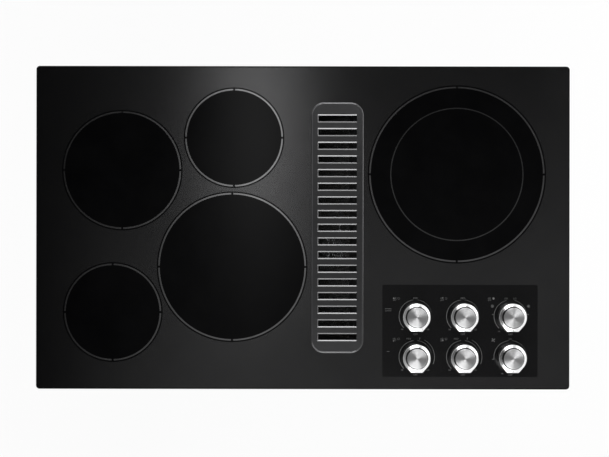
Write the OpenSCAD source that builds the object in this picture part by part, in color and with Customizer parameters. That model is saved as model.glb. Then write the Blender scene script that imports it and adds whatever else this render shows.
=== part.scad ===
// Downdraft electric cooktop: a glass top with five radiant elements, a centre vent
// with a lift-out grille and filter, a blower hung below it and six push-to-turn controls.
// Origin at the centre of the glass on the countertop plane, +X right, +Y rear, +Z up.

/* [Glass] */
// Width of the glass
glass_w = 917.6; // [905:0.2:930]
// Depth of the glass, front to rear
glass_d = 555.6; // [550:0.2:575]
// Thickness of the glass
glass_t = 4; // [3:0.5:6]
// Radius of the glass corners
glass_corner_r = 6; // [3:0.5:12]
// Width of the ground bevel along the top edge
glass_bevel = 1.2; // [0.4:0.1:2]
// Thickness of the compressed foam seal under the glass
seal_t = 1.5; // [1:0.25:4]
// Width of the foam seal
seal_w = 12; // [6:1:14]
// Distance of the seal from the edge of the glass
seal_inset = 3; // [1:0.5:6]

/* [Vent grille] */
// Place of the vent, left to right
vent_x = 58.8; // [58:0.2:60]
// Width of the vent opening in the glass
vent_open_w = 78; // [76:0.5:82]
// Corner radius of the vent opening
vent_open_r = 12; // [6:1:16]
// Width of the grille
grille_w = 89.6; // [88:0.2:96]
// Depth of the grille, front to rear
grille_d = 429; // [428:1:440]
// Lap of the grille over the glass at its front and rear ends
grille_lap = 4.5; // [3:0.5:6]
// Corner radius of the grille
grille_corner_r = 22; // [14:1:24]
// Height of the grille above the glass
grille_rise = 7; // [5.5:0.5:12]
// Thickness of the grille's slotted plate
grille_plate_t = 3.2; // [2:0.2:4]
// Width of the polished bead round the grille
bead_w = 2.4; // [1.6:0.2:3]
// Depth of the plate below the top of the bead
bead_step = 0.8; // [0.4:0.1:1.2]
// Number of slots
slot_count = 17; // [11:1:17]
// Distance from the grille's ends to the middle of its first and last slots
slot_end = 27.3; // [20:0.1:34]
// Length of a slot
slot_l = 67; // [55:1:69]
// Width of a slot
slot_w = 10.2; // [6:0.2:11]
// Width of the polished bevel along a slot's long edges
slot_bevel = 1.8; // [1:0.2:3]
// Wall of the grille's locating skirt
skirt_t = 1.5; // [1:0.25:2]
// Reach of the skirt below the glass
skirt_drop = 2; // [0:0.5:5]

/* [Elements] */
// Left rear element, place left to right
left_rear_x = -310.6; // [-318:0.2:-308]
// Left rear element, place front to rear
left_rear_y = 98.5; // [90:0.5:105]
// Left rear element, radius of its ring
left_rear_r = 99.8; // [85:0.1:101]
// Middle rear element, place left to right
mid_rear_x = -118.5; // [-122:0.1:-112]
// Middle rear element, place front to rear
mid_rear_y = 154.5; // [153:0.1:160]
// Middle rear element, radius of its ring
mid_rear_r = 82.7; // [75:0.1:84]
// Left front element, place left to right
left_front_x = -326.7; // [-332:0.1:-326]
// Left front element, place front to rear
left_front_y = -145.5; // [-155:0.5:-142]
// Left front element, radius of its ring
left_front_r = 82; // [70:0.5:83]
// Middle front element, place left to right
mid_front_x = -121.5; // [-124:0.1:-121]
// Middle front element, place front to rear
mid_front_y = -67.4; // [-75:0.1:-66]
// Middle front element, radius of its ring
mid_front_r = 125.7; // [110:0.1:126.5]
// Right element, place left to right
right_x = 264.6; // [264:0.2:270]
// Right element, place front to rear
right_y = 92; // [85:0.5:94]
// Right element, radius of its outer ring
right_r = 149.4; // [140:0.2:150]
// Right element, radius of the ring between its two zones
right_inner_r = 113.6; // [90:0.2:120]
// Reach of an element dish beyond its ring
dish_reach = 4.5; // [3:0.1:5]
// Depth of an element dish
dish_depth = 28; // [24:1:36]
// Sheet thickness of an element dish
dish_t = 0.7; // [0.5:0.1:1]
// Thickness of the insulation's wall
insulation_wall = 9; // [6:0.5:12]
// Thickness of the insulation's base
insulation_base = 12; // [9:0.5:14]
// Height of the heating ribbon
ribbon_h = 5.5; // [3:0.5:6]
// Thickness of the heating ribbon
ribbon_t = 1.2; // [0.8:0.1:2]
// Radius at which the heating ribbon starts
ribbon_start_r = 22; // [18:1:30]
// Spacing between turns of the heating ribbon
ribbon_pitch = 13; // [10:0.5:18]
// Radius of a limiter's tube
limiter_r = 2.5; // [1.5:0.25:3]
// Length of a limiter's switch block, along its tube
limiter_block_l = 24; // [16:1:26]
// Width of a limiter's switch block
limiter_block_w = 14; // [10:1:18]
// Height of a limiter's switch block
limiter_block_h = 18; // [12:1:24]

/* [Controls] */
// Place of the middle control column, left to right
control_x = 275.4; // [268:0.2:284]
// Place of the middle of the control rows, front to rear
control_y = -186.8; // [-191:0.1:-184]
// Spacing of the control columns
control_pitch_x = 81.6; // [74:0.1:86]
// Spacing of the control rows
control_pitch_y = 69.8; // [66:0.1:72]
// Radius of a knob at its foot
knob_r = 23.5; // [19:0.5:26]
// Height of a knob
knob_h = 24; // [20:0.5:30]
// Radius of the spun disc on a knob
knob_disc_r = 16.6; // [12:0.2:17]
// Width of the groove round the spun disc
knob_groove_w = 2.4; // [1:0.1:2.6]
// Depth of the sloping shoulder's crest below the spun disc
shoulder_drop = 4.6; // [2:0.2:6]
// Fall of the sloping shoulder to the knob's side
shoulder_fall = 2; // [1.6:0.2:5]
// Reach of a knob's pointer lug from its axis
lug_reach = 24.5; // [24:0.5:32]
// Width of a knob's pointer lug
lug_w = 20; // [14:0.5:24]
// Wall of a knob's shell
knob_wall = 2.2; // [1.6:0.1:3]
// Radius of a knob's centre boss
knob_boss_r = 6; // [5:0.25:8]
// How far a knob is pushed in before it turns
push_travel = 2; // [1:0.25:3]
// Radius of a control shaft
shaft_r = 3; // [2.5:0.25:3.5]
// Distance of the shaft's flat from its axis
shaft_flat = 1.6; // [1.2:0.1:2]
// Radius of the shaft holes in the glass
shaft_hole_r = 6; // [5:0.25:8]
// Width of a switch housing
switch_w = 38; // [34:1:44]
// Depth of a switch housing, front to rear
switch_d = 44; // [36:1:48]
// Height of a switch housing
switch_h = 28; // [24:1:32]
// Radius of a switch cam's round part
cam_r = 10; // [8:0.5:11]
// Reach of a switch cam's lobe
cam_lobe = 13; // [11.5:0.5:14]
// Thickness of a switch cam
cam_t = 10; // [6:0.5:12]
// Depth of the control bracket's plate below the glass
bracket_drop = 8; // [6.5:0.5:12]
// Sheet thickness of the control bracket
bracket_t = 1.2; // [1:0.1:2]

/* [Burner box] */
// Width of the burner box
box_w = 866; // [860:1:880]
// Depth of the burner box, front to rear
box_d = 508; // [506:1:518]
// Depth of the box below the countertop plane
box_depth = 78; // [70:1:95]
// Corner radius of the box
box_r = 8; // [4:1:14]
// Sheet thickness of the box
box_t = 1; // [0.8:0.1:1.5]
// Width of the box's top flange
box_flange_w = 4; // [3:0.5:5]

/* [Plenum and filter] */
// Width of the plenum
plenum_w = 94; // [92:0.5:94.5]
// Depth of the plenum, front to rear
plenum_d = 436; // [434:1:442]
// Depth of the plenum's upright part below the countertop plane
plenum_straight = 150; // [140:1:160]
// Full depth of the plenum below the countertop plane
plenum_depth = 330; // [326:1:345]
// Depth of the plenum's floor, front to rear
plenum_floor_d = 240; // [200:5:250]
// Sheet thickness of the plenum
plenum_t = 1; // [0.8:0.1:1.5]
// Width of the plenum's flange under the burner box
plenum_flange_w = 13; // [10:0.5:16]
// Length of the filter
filter_l = 408; // [380:1:410]
// Width of the filter, up its slope
filter_w = 106; // [90:1:108]
// Thickness of the filter
filter_t = 9; // [6:0.5:10]
// Slope of the filter
filter_slope = 52; // [52:1:60]
// Depth of the filter's top edge below the countertop plane
filter_drop = 16; // [12:1:22]
// Width of the filter frame's channel
filter_rim = 10; // [7:0.5:14]
// Thickness of the filter's mesh
mesh_t = 2.4; // [1.6:0.2:4]
// Width of a strand of the mesh
mesh_strand = 3; // [2:0.5:5]
// Spacing of the mesh's strands
mesh_pitch = 26; // [16:1:30]
// Reach of the ledge under the filter's lower edge
ledge_reach = 4; // [2:0.5:6]
// Radius of the overflow jar
jar_r = 36; // [32:0.5:42]
// Height of the overflow jar
jar_h = 74; // [50:1:90]
// Wall of the overflow jar
jar_t = 2; // [1.5:0.1:3]
// Place of the jar, front to rear
jar_y = -55; // [-65:1:-45]
// Length of the drain neck that holds the jar
neck_l = 12; // [8:0.5:16]

/* [Blower] */
// Depth of the blower's axis below the countertop plane
blower_depth = 226; // [222:1:232]
// Inside width of the scroll
scroll_w = 108; // [100:1:114]
// Radius of the scroll at its cut-off
scroll_r0 = 108; // [104:0.5:110]
// Radius of the scroll at its outlet
scroll_r1 = 170; // [164:1:174]
// Angle below the horizontal at which the scroll starts
scroll_start = 30; // [28:1:34]
// Reach of the scroll's outlet behind the blower's axis
scroll_outlet = 164; // [162:1:172]
// Sheet thickness of the scroll
scroll_t = 1.2; // [1:0.1:1.5]
// Radius of the blower's inlet
inlet_r = 64; // [54:0.5:68]
// Reach of the inlet ring into the scroll
inlet_ring = 9; // [6:0.5:11]
// Radius of the blower wheel
wheel_r = 95; // [88:0.5:98]
// Inner radius of the wheel's blades
blade_inner_r = 77; // [74:0.5:80]
// Number of blades
blade_count = 36; // [18:1:40]
// Thickness of a blade
blade_t = 1; // [0.8:0.1:1.4]
// Thickness of the wheel's back plate and rings
wheel_ring_t = 2; // [1.5:0.1:3]
// Gap between the wheel and the parts beside it
wheel_gap = 4; // [2:0.5:5]
// Radius of the motor
motor_r = 45; // [38:0.5:50]
// Length of the motor
motor_l = 62; // [50:1:80]
// Radius of the motor shaft
motor_shaft_r = 4; // [3:0.25:5]
// Radius of the round outlet collar
collar_r = 75.6; // [74:0.1:76.2]
// Length of the outlet collar
collar_l = 45; // [38:1:60]
// Length of the step from the scroll to the collar
collar_step = 34; // [30:1:50]
// Height of the damper's pivot above the centre of the collar
damper_offset = 4; // [2:0.5:5]
// Radius of the damper's pivot rod
damper_rod_r = 2.5; // [2:0.25:3]

/* [Junction box and fixings] */
// Place of the junction box, left to right
jbox_x = 372; // [350:1:375]
// Place of the junction box, front to rear
jbox_y = 160; // [100:1:180]
// Width of the junction box, both ways
jbox_w = 100; // [90:1:110]
// Height of the junction box
jbox_h = 50; // [40:1:60]
// Radius of the conduit knockout
knockout_r = 11.1; // [8:0.1:14.3]
// Thickness of the countertop that the clamps suit
counter_t = 38; // [30:1:40]
// Width of a hold-down bracket
clamp_w = 40; // [30:1:50]
// Reach of a hold-down bracket from the box
clamp_reach = 24; // [22:0.5:26]
// Height of a hold-down bracket's leg
clamp_leg_h = 40; // [30:1:50]
// Thickness of a hold-down bracket
clamp_t = 2; // [1.5:0.25:3]
// Radius of the clamp screws
clamp_screw_r = 2.5; // [2:0.25:3]
// Radius of the sheet metal screws
screw_r = 2; // [1.5:0.25:2.5]
// Height of a screw's head
screw_head_h = 2.4; // [1.6:0.2:3]

/* [Hidden] */
$fn = 64;
eps = 0.01;
seat_gap = 0.3;                          // between pieces that lift apart
run_gap = 0.05;                          // radial, between a shaft and its bore
press_gap = 0.02;                        // radial, between a shaft and its hub
glass_under = seal_t;
glass_top = seal_t + glass_t;
floor_top = box_t - box_depth;           // inside of the burner box's floor

ELEMENTS = [                             // name, x, y, ring radius, inner ring radius, limiter angle
    ["left_rear", left_rear_x, left_rear_y, left_rear_r, 0, 135],
    ["mid_rear", mid_rear_x, mid_rear_y, mid_rear_r, 0, 28],
    ["left_front", left_front_x, left_front_y, left_front_r, 0, -52],
    ["mid_front", mid_front_x, mid_front_y, mid_front_r, 0, -60],
    ["right", right_x, right_y, right_r, right_inner_r, 218]];

CONTROLS = [                             // name, column, row
    ["left_rear", -1, 1],
    ["mid_rear", 0, 1],
    ["right", 1, 1],
    ["left_front", -1, -1],
    ["mid_front", 0, -1],
    ["fan", 1, -1]];

// Vent opening and slots, from the grille's depth
vent_open_d = grille_d - 2 * grille_lap;
slot_pitch = (grille_d - 2 * slot_end) / (slot_count - 1);

// Control stack, from the glass down
knob_z = glass_top + push_travel + 0.5;
knob_bore = knob_h - 8;
bracket_z = glass_under - bracket_drop;
bushing_r = shaft_r + 2;
bushing_h = 4;
switch_z = bracket_z - bracket_t;
switch_lid = 4;
pocket_r = cam_lobe + 1;
pocket_h = cam_t + 1;
pocket_z = switch_z - switch_lid - pocket_h;
cam_z = pocket_z + seat_gap;
terminal = [0.8, 6.3, 8];

// Plenum, filter and blower
plenum_right = vent_x + plenum_w / 2;
filter_run = filter_w * cos(filter_slope) + filter_t * sin(filter_slope);
filter_fall = filter_w * sin(filter_slope) + filter_t * cos(filter_slope);
filter_mid_z = -filter_drop - filter_fall / 2;
filter_low_z = -filter_drop - filter_fall;
filter_low_x = vent_x - filter_w / 2 * cos(filter_slope) + filter_t / 2 * sin(filter_slope);
filter_side_z = filter_mid_z + filter_w / 2 * sin(filter_slope) - filter_t / 2 * cos(filter_slope);
neck_r = jar_r - jar_t - seat_gap;
neck_t = 1.5;
blower_z = -blower_depth;
back_x = plenum_right + scroll_t + scroll_w;
motor_x = back_x + scroll_t;
wheel_x0 = plenum_right + scroll_t + inlet_ring + wheel_gap;
wheel_x1 = back_x - wheel_gap;
outlet_x = plenum_right + scroll_t + scroll_w / 2;
lip_v = -scroll_r0 * sin(scroll_start);
outlet_z = blower_z + (lip_v - scroll_r1) / 2;
outlet_h = scroll_r1 + lip_v;
collar_y = scroll_outlet + scroll_t + collar_step;
collar_in_r = collar_r - scroll_t;
damper_y = collar_y + 18;

// Screws and their holes
screw_hole_r = screw_r + 0.2;
screw_grip = 6;
flange_line_x = plenum_w / 2 + plenum_flange_w / 2 + 0.5;
flange_line_y = plenum_d / 2 + plenum_flange_w / 2 + 0.5;
PLENUM_SCREWS = [for (x = [-1, 1], y = [-1, 0, 1]) [vent_x + x * flange_line_x, y * plenum_d / 3]];
motor_screw_pcd_r = motor_r + 5;
MOTOR_SCREWS = [for (a = [45 : 90 : 315]) [motor_screw_pcd_r * cos(a), motor_screw_pcd_r * sin(a)]];
JBOX_SCREWS = [for (s = [-1, 1]) [jbox_x + s * (jbox_w / 2 - 6), jbox_y]];
outlet_margin = 4 * screw_r + 3;
COLLAR_SCREWS = [for (x = [-1, 1], z = [-1, 1])
    [outlet_x + x * scroll_w / 4, outlet_z + z * (outlet_h / 2 + outlet_margin - 2 * screw_r - 0.5)]];
CLAMPS = [for (x = [-1, 1], y = [-1, 1]) [x, y * box_d / 3.4]];
clamp_hole_x = clamp_reach - 7;
clamp_leg_z = -counter_t - 20;

module rounded_outline(w, d, r) {
    square([w - 2 * r, d], center = true);
    square([w, d - 2 * r], center = true);
    for (x = [-1, 1], y = [-1, 1])
        translate([x * (w / 2 - r), y * (d / 2 - r)]) circle(r);
}

// Rounded plate from height z0 to height z1
module rounded_plate(w, d, r, z0, z1) {
    translate([0, 0, z0]) linear_extrude(z1 - z0) rounded_outline(w, d, r);
}

// Sweeps a profile round a rounded rectangle: profile x points outwards from the outline
module swept_edge(w, d, r) {
    for (turn = [0 : 3]) {
        half_w = (turn % 2 == 0 ? w : d) / 2;
        half_d = (turn % 2 == 0 ? d : w) / 2;
        rotate(90 * turn) {
            translate([half_w, half_d - r, 0])
                rotate([90, 0, 0]) linear_extrude(2 * (half_d - r)) children();
            translate([half_w - r, half_d - r, 0])
                rotate_extrude(angle = 90) translate([r, 0]) children();
        }
    }
}

module d_outline(r, flat) {
    difference() {
        circle(r);
        translate([flat, -r]) square(2 * r);
    }
}

module at_controls() {
    for (c = CONTROLS) at_control(c) children();
}

module at_control(c) {
    translate([control_x + c[1] * control_pitch_x, control_y + c[2] * control_pitch_y / 2, 0]) children();
}

// Turns children's +Z to +X, with their origin at the given depth along the blower's axis
module on_blower_axis(x) {
    translate([x, 0, blower_z]) rotate([90, 0, 90]) children();
}

// Turns children's +Z to -Y, with their origin on the outlet collar's axis
module on_collar_axis(y) {
    translate([outlet_x, y, outlet_z]) rotate([90, 0, 0]) children();
}

module glass_top() {
    r = glass_corner_r;
    color([0.05, 0.05, 0.055])
    difference() {
        translate([0, 0, glass_under]) {
            swept_edge(glass_w, glass_d, r)
                polygon([[-r, 0], [0, 0], [0, glass_t - glass_bevel],
                         [-glass_bevel, glass_t], [-r, glass_t]]);
            translate([r - glass_w / 2, r - glass_d / 2, 0])
                cube([glass_w - 2 * r, glass_d - 2 * r, glass_t]);
        }
        translate([vent_x, 0, 0])
            rounded_plate(vent_open_w, vent_open_d, vent_open_r, 0, glass_top + 1);
        at_controls() cylinder(r = shaft_hole_r, h = glass_top + 1);
    }
}

module perimeter_seal() {
    w = glass_w - 2 * seal_inset;
    d = glass_d - 2 * seal_inset;
    color([0.12, 0.12, 0.12])
    difference() {
        rounded_plate(w, d, glass_corner_r, 0, seal_t);
        translate([0, 0, -1]) linear_extrude(seal_t + 2)
            square([w - 2 * seal_w, d - 2 * seal_w], center = true);
    }
}

module slot_cut(z_top) {
    z_low = z_top - slot_bevel * 0.7;
    translate([-slot_l / 2, -slot_w / 2, 0]) cube([slot_l, slot_w, z_top + 1]);
    translate([-slot_l / 2, 0, 0])
        rotate([90, 0, 90])
            linear_extrude(slot_l)
                polygon([[-slot_w / 2, z_low], [slot_w / 2, z_low],
                         [slot_w / 2 + slot_bevel, z_top + eps], [-slot_w / 2 - slot_bevel, z_top + eps]]);
}

module vent_grille() {
    foot = glass_top + seat_gap;
    rim_top = glass_top + grille_rise;
    plate_top = rim_top - bead_step;
    bead_r = bead_w / 2;
    skirt_w = vent_open_w - 1.2;
    skirt_d = vent_open_d - 1.2;
    color([0.45, 0.45, 0.46])
    translate([vent_x, 0, 0])
    difference() {
        union() {
            swept_edge(grille_w, grille_d, grille_corner_r) {
                translate([-bead_w, foot]) square([bead_w, rim_top - bead_r - foot]);
                translate([-bead_r, rim_top - bead_r]) circle(bead_r);
            }
            rounded_plate(grille_w - 2 * bead_r, grille_d - 2 * bead_r, grille_corner_r - bead_r,
                          plate_top - grille_plate_t, plate_top);
            difference() {
                rounded_plate(skirt_w, skirt_d, vent_open_r - 0.6, glass_under - skirt_drop, plate_top - 1);
                rounded_plate(skirt_w - 2 * skirt_t, skirt_d - 2 * skirt_t, vent_open_r - 0.6 - skirt_t,
                              glass_under - skirt_drop - 1, plate_top - grille_plate_t);
            }
        }
        for (i = [0 : slot_count - 1])
            translate([0, (i - (slot_count - 1) / 2) * slot_pitch, 0]) slot_cut(plate_top);
    }
}

// Places children in the plane of the sloping filter, local x up the slope
module in_filter() {
    translate([vent_x, 0, filter_mid_z]) rotate([0, -filter_slope, 0]) children();
}

module filter_frame() {
    lip = 1.2;
    color([0.7, 0.7, 0.72])
    in_filter()
    difference() {
        rounded_plate(filter_w, filter_l, 3, -filter_t / 2, filter_t / 2);
        rounded_plate(filter_w - 2 * filter_rim, filter_l - 2 * filter_rim, 3, -filter_t, filter_t);
        translate([0, 0, -filter_t / 2 + lip]) linear_extrude(filter_t - 2 * lip)
            square([filter_w - 2 * lip, filter_l - 2 * lip], center = true);
    }
}

module filter_mesh() {
    w = filter_w - filter_rim;
    l = filter_l - filter_rim;
    reach = ceil((w + l) / mesh_pitch / 2);
    color([0.6, 0.6, 0.62])
    in_filter()
    translate([0, 0, -mesh_t / 2])
    linear_extrude(mesh_t) {
        difference() {
            square([w, l], center = true);
            square([w - filter_rim, l - filter_rim], center = true);
        }
        intersection() {
            square([w, l], center = true);
            for (i = [-reach : reach], lean = [-45, 45])
                translate([0, i * mesh_pitch]) rotate(lean) square([3 * w, mesh_strand], center = true);
        }
    }
    color([0.6, 0.6, 0.62])
    in_filter()
    for (side = [-1, 1])
        translate([side * (w - filter_rim / 2) / 2, 0, 0])
            cube([filter_rim / 2, l, filter_t - 2.6], center = true);
}

module burner_box() {
    z0 = -box_depth;
    z1 = glass_under - seat_gap;
    over_w = 2 * box_flange_w;
    color([0.62, 0.64, 0.66])
    difference() {
        union() {
            rounded_plate(box_w, box_d, box_r, z0, z1);
            rounded_plate(box_w + over_w, box_d + over_w, box_r + box_flange_w, z1 - box_t, z1);
        }
        rounded_plate(box_w - 2 * box_t, box_d - 2 * box_t, box_r - box_t, z0 + box_t, z1 + 1);
        translate([vent_x, 0, z0 - 1]) linear_extrude(3)
            square([plenum_w + 1, plenum_d + 1], center = true);
        for (p = PLENUM_SCREWS) translate([p[0], p[1], z0 - 1]) cylinder(r = screw_hole_r, h = 3);
        translate([jbox_x, jbox_y, z0 - 1]) cylinder(r = knockout_r, h = 3);
    }
}

module plenum_side(inset) {
    half = plenum_d / 2 - inset;
    half_floor = plenum_floor_d / 2 - inset;
    top = glass_under - seat_gap + (inset > 0 ? 1 : 0);
    polygon([[-half, top], [half, top], [half, -plenum_straight], [half_floor, inset - plenum_depth],
             [-half_floor, inset - plenum_depth], [-half, -plenum_straight]]);
}

module plenum() {
    inner_w = plenum_w - 2 * plenum_t;
    low_x = vent_x - plenum_w / 2;
    rail_w = (plenum_w - filter_run) / 2 - seat_gap;
    ledge_t = 1.2;
    color([0.62, 0.64, 0.66])
    difference() {
        union() {
            translate([low_x, 0, 0]) rotate([90, 0, 90]) linear_extrude(plenum_w) plenum_side(0);
            translate([vent_x, 0, -box_depth - 1.2]) linear_extrude(1.2)
                square([plenum_w + 2 * plenum_flange_w, plenum_d + 2 * plenum_flange_w], center = true);
            translate([vent_x, jar_y, -plenum_depth - neck_l]) cylinder(r = neck_r, h = neck_l + 0.5);
        }
        difference() {
            translate([vent_x - inner_w / 2, 0, 0]) rotate([90, 0, 90])
                linear_extrude(inner_w) plenum_side(plenum_t);
            translate([low_x, -filter_l / 2, filter_low_z - seat_gap - ledge_t])
                cube([filter_low_x + ledge_reach - low_x, filter_l, ledge_t]);
            translate([plenum_right - rail_w, -filter_l / 2, filter_side_z - ledge_t / 2])
                cube([rail_w, filter_l, ledge_t]);
        }
        translate([vent_x, jar_y, -plenum_depth - neck_l - 1])
            cylinder(r = neck_r - neck_t, h = neck_l + 3);
        on_blower_axis(plenum_right - 2) cylinder(r = inlet_r, h = 4);
        for (p = PLENUM_SCREWS) translate([p[0], p[1], -box_depth - 2]) cylinder(r = screw_hole_r, h = 4);
    }
}

module overflow_jar() {
    z1 = -plenum_depth - seat_gap;
    color([0.8, 0.82, 0.84])
    translate([vent_x, jar_y, z1 - jar_h])
    difference() {
        union() {
            cylinder(r = jar_r, h = jar_h);
            for (z = [jar_h - 3, jar_h - 8]) translate([0, 0, z]) cylinder(r = jar_r + 1.5, h = 2);
        }
        translate([0, 0, jar_t]) cylinder(r = jar_r - jar_t, h = jar_h);
    }
}

// Outline of the scroll seen along its axis: x towards the rear, y up
function scroll_points(inset) =
    [for (a = [-scroll_start : 7.5 : 270])
        let (r = scroll_r0 + (scroll_r1 - scroll_r0) * (a + scroll_start) / (270 + scroll_start) - inset)
        [r * cos(a), r * sin(a)]];

module scroll_outline(inset) {
    over = inset > 0 ? 1 : 0;
    lip_u = scroll_r0 * cos(scroll_start);
    polygon(concat(scroll_points(inset),
        [[0, inset - scroll_r1],
         [scroll_outlet + over, inset - scroll_r1],
         [scroll_outlet + over, lip_v - inset],
         [lip_u - over * 0.3, lip_v - inset]]));
}

module blower_housing() {
    color([0.25, 0.25, 0.27])
    difference() {
        union() {
            on_blower_axis(plenum_right + scroll_t)
            linear_extrude(scroll_w) difference() {
                scroll_outline(0);
                scroll_outline(scroll_t);
            }
            on_blower_axis(back_x) linear_extrude(scroll_t) scroll_outline(0);
            outlet_flange(scroll_outlet - scroll_t);
        }
        on_blower_axis(back_x - 1) cylinder(r = motor_shaft_r + 6, h = 4);
        on_blower_axis(back_x - 1) for (p = MOTOR_SCREWS) translate(p) cylinder(r = screw_hole_r, h = 4);
        collar_screw_holes();
    }
}

// Flange round the scroll's square outlet, above and below it
module outlet_flange(y) {
    translate([outlet_x, y + scroll_t, outlet_z]) rotate([90, 0, 0]) linear_extrude(scroll_t)
        difference() {
            square([scroll_w, outlet_h + 2 * outlet_margin], center = true);
            square([scroll_w + 1, outlet_h - 2 * scroll_t], center = true);
        }
}

module collar_screw_holes() {
    for (p = COLLAR_SCREWS)
        translate([p[0], scroll_outlet + 5, p[1]]) rotate([90, 0, 0]) cylinder(r = screw_hole_r, h = 10);
}

module blower_inlet_cover() {
    color([0.25, 0.25, 0.27])
    difference() {
        union() {
            on_blower_axis(plenum_right) linear_extrude(scroll_t) scroll_outline(0);
            on_blower_axis(plenum_right) cylinder(r = inlet_r + 1.5, h = scroll_t + inlet_ring);
        }
        on_blower_axis(plenum_right - 1) cylinder(r = inlet_r, h = scroll_t + inlet_ring + 2);
    }
}

// Forward-curved blade: an arc of a circle between the inner and outer radii
module blade_outline() {
    bend_r = (wheel_r - blade_inner_r) * 0.8;
    translate([(wheel_r + blade_inner_r) / 2, -bend_r * 0.55])
    intersection() {
        difference() {
            circle(bend_r);
            circle(bend_r - blade_t);
        }
        translate([-bend_r * 0.78, 0]) square([bend_r * 1.56, bend_r * 2]);
    }
}

module blower_wheel() {
    hub_r = motor_shaft_r + 6;
    hub_l = 22;
    width = wheel_x1 - wheel_x0;
    color([0.35, 0.36, 0.38])
    on_blower_axis(wheel_x0)
    difference() {
        union() {
            linear_extrude(width - wheel_ring_t / 2)
                intersection() {
                    for (i = [0 : blade_count - 1]) rotate(i * 360 / blade_count) blade_outline();
                    circle(wheel_r - 0.4);
                }
            linear_extrude(wheel_ring_t) difference() {
                circle(wheel_r);
                circle(blade_inner_r + 6);
            }
            translate([0, 0, width - wheel_ring_t]) cylinder(r = wheel_r, h = wheel_ring_t);
            translate([0, 0, width - hub_l]) cylinder(r = hub_r, h = hub_l);
        }
        translate([0, 0, -1]) cylinder(r = motor_shaft_r + press_gap, h = width + 2);
    }
}

module motor_body() {
    color([0.2, 0.2, 0.22])
    on_blower_axis(motor_x)
    difference() {
        union() {
            cylinder(r = motor_screw_pcd_r + 5, h = 2);
            cylinder(r = motor_r, h = motor_l - 6);
            translate([0, 0, motor_l - 6 - eps]) cylinder(r1 = motor_r, r2 = motor_r - 6, h = 6);
            for (a = [0 : 30 : 330]) rotate(a)
                translate([motor_r - 1, -1, 8]) cube([3, 2, motor_l - 20]);
        }
        translate([0, 0, -1]) cylinder(r = motor_shaft_r + run_gap, h = motor_l - 12);
        for (p = MOTOR_SCREWS) translate([p[0], p[1], -1]) cylinder(r = screw_hole_r, h = 4);
    }
}

module motor_shaft() {
    start = wheel_x1 - 26;
    color([0.75, 0.75, 0.77])
    on_blower_axis(start) cylinder(r = motor_shaft_r, h = motor_x + motor_l - 14 - start);
}

module outlet_collar() {
    wide = scroll_w;
    high = outlet_h - 2 * scroll_t;
    slab = 0.2;
    color([0.62, 0.64, 0.66])
    difference() {
        union() {
            outlet_flange(scroll_outlet);
            hull() {
                translate([outlet_x - wide / 2, scroll_outlet, outlet_z - high / 2 - scroll_t])
                    cube([wide, slab, high + 2 * scroll_t]);
                on_collar_axis(collar_y + slab) cylinder(r = collar_r, h = slab, $fn = 40);
            }
            on_collar_axis(collar_y + collar_l) cylinder(r = collar_r, h = collar_l);
        }
        hull() {
            translate([outlet_x - wide / 2 + scroll_t, scroll_outlet - 1, outlet_z - high / 2])
                cube([wide - 2 * scroll_t, 1, high]);
            on_collar_axis(collar_y + 1) cylinder(r = collar_in_r, h = 1, $fn = 40);
        }
        on_collar_axis(collar_y + collar_l + 1) cylinder(r = collar_in_r, h = collar_l + 1.5);
        translate([outlet_x - collar_r - 1, damper_y, outlet_z + damper_offset]) rotate([0, 90, 0])
            cylinder(r = damper_rod_r + run_gap, h = 2 * collar_r + 2);
        collar_screw_holes();
    }
}

module damper_flap() {
    flap_r = collar_in_r - 1.2;
    rod_half = sqrt(pow(collar_r, 2) - pow(damper_offset + damper_rod_r, 2)) - 0.3;
    color([0.7, 0.7, 0.72]) {
        on_collar_axis(damper_y + 0.6) cylinder(r = flap_r, h = 1.2);
        translate([outlet_x - rod_half, damper_y, outlet_z + damper_offset]) rotate([0, 90, 0])
            cylinder(r = damper_rod_r, h = 2 * rod_half);
    }
}

module dish_notch(e) {
    wide = 2 * limiter_r + 2;
    inner = e[3] - insulation_wall - 12;
    rotate(e[5]) translate([inner, -wide / 2, limiter_z - limiter_r - 1])
        cube([e[3] + 2 * dish_reach - inner, wide, dish_depth]);
}

limiter_z = -limiter_r - 2;

module element_dish(e) {
    r = e[3] + dish_reach;
    z1 = glass_under - seat_gap;
    z0 = z1 - dish_depth;
    leg_r = r * 0.62;
    color([0.7, 0.7, 0.7])
    translate([e[1], e[2], 0]) {
        difference() {
            translate([0, 0, z0]) rotate_extrude()
                polygon([[0, 0], [r - 2, 0], [r, 2], [r, dish_depth], [r - dish_t, dish_depth],
                         [r - dish_t, 2.3], [r - 2.3, dish_t], [0, dish_t]]);
            dish_notch(e);
        }
        for (a = [0, 90, 180, 270]) rotate(a + e[5] + 45)
            translate([leg_r, -10, floor_top]) {
                cube([1.2, 20, z0 - floor_top + dish_t / 2]);
                cube([12, 20, 1.2]);
            }
    }
}

module element_insulation(e) {
    r = e[3] + dish_reach - dish_t - 0.2;
    base_z = glass_under - seat_gap - dish_depth + dish_t;
    bed_z = base_z + insulation_base;
    rim_z = glass_under - seat_gap;
    divider_top = limiter_z - limiter_r - 0.5;
    color([0.88, 0.86, 0.8])
    translate([e[1], e[2], 0])
    difference() {
        union() {
            rotate_extrude()
                polygon([[0, base_z], [r - 2, base_z], [r, base_z + 2], [r, rim_z],
                         [r - insulation_wall, rim_z], [r - insulation_wall, bed_z], [0, bed_z]]);
            if (e[4] > 0)
                rotate_extrude() translate([e[4] - 3, bed_z - eps]) square([6, divider_top - bed_z]);
        }
        dish_notch(e);
    }
}

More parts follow.
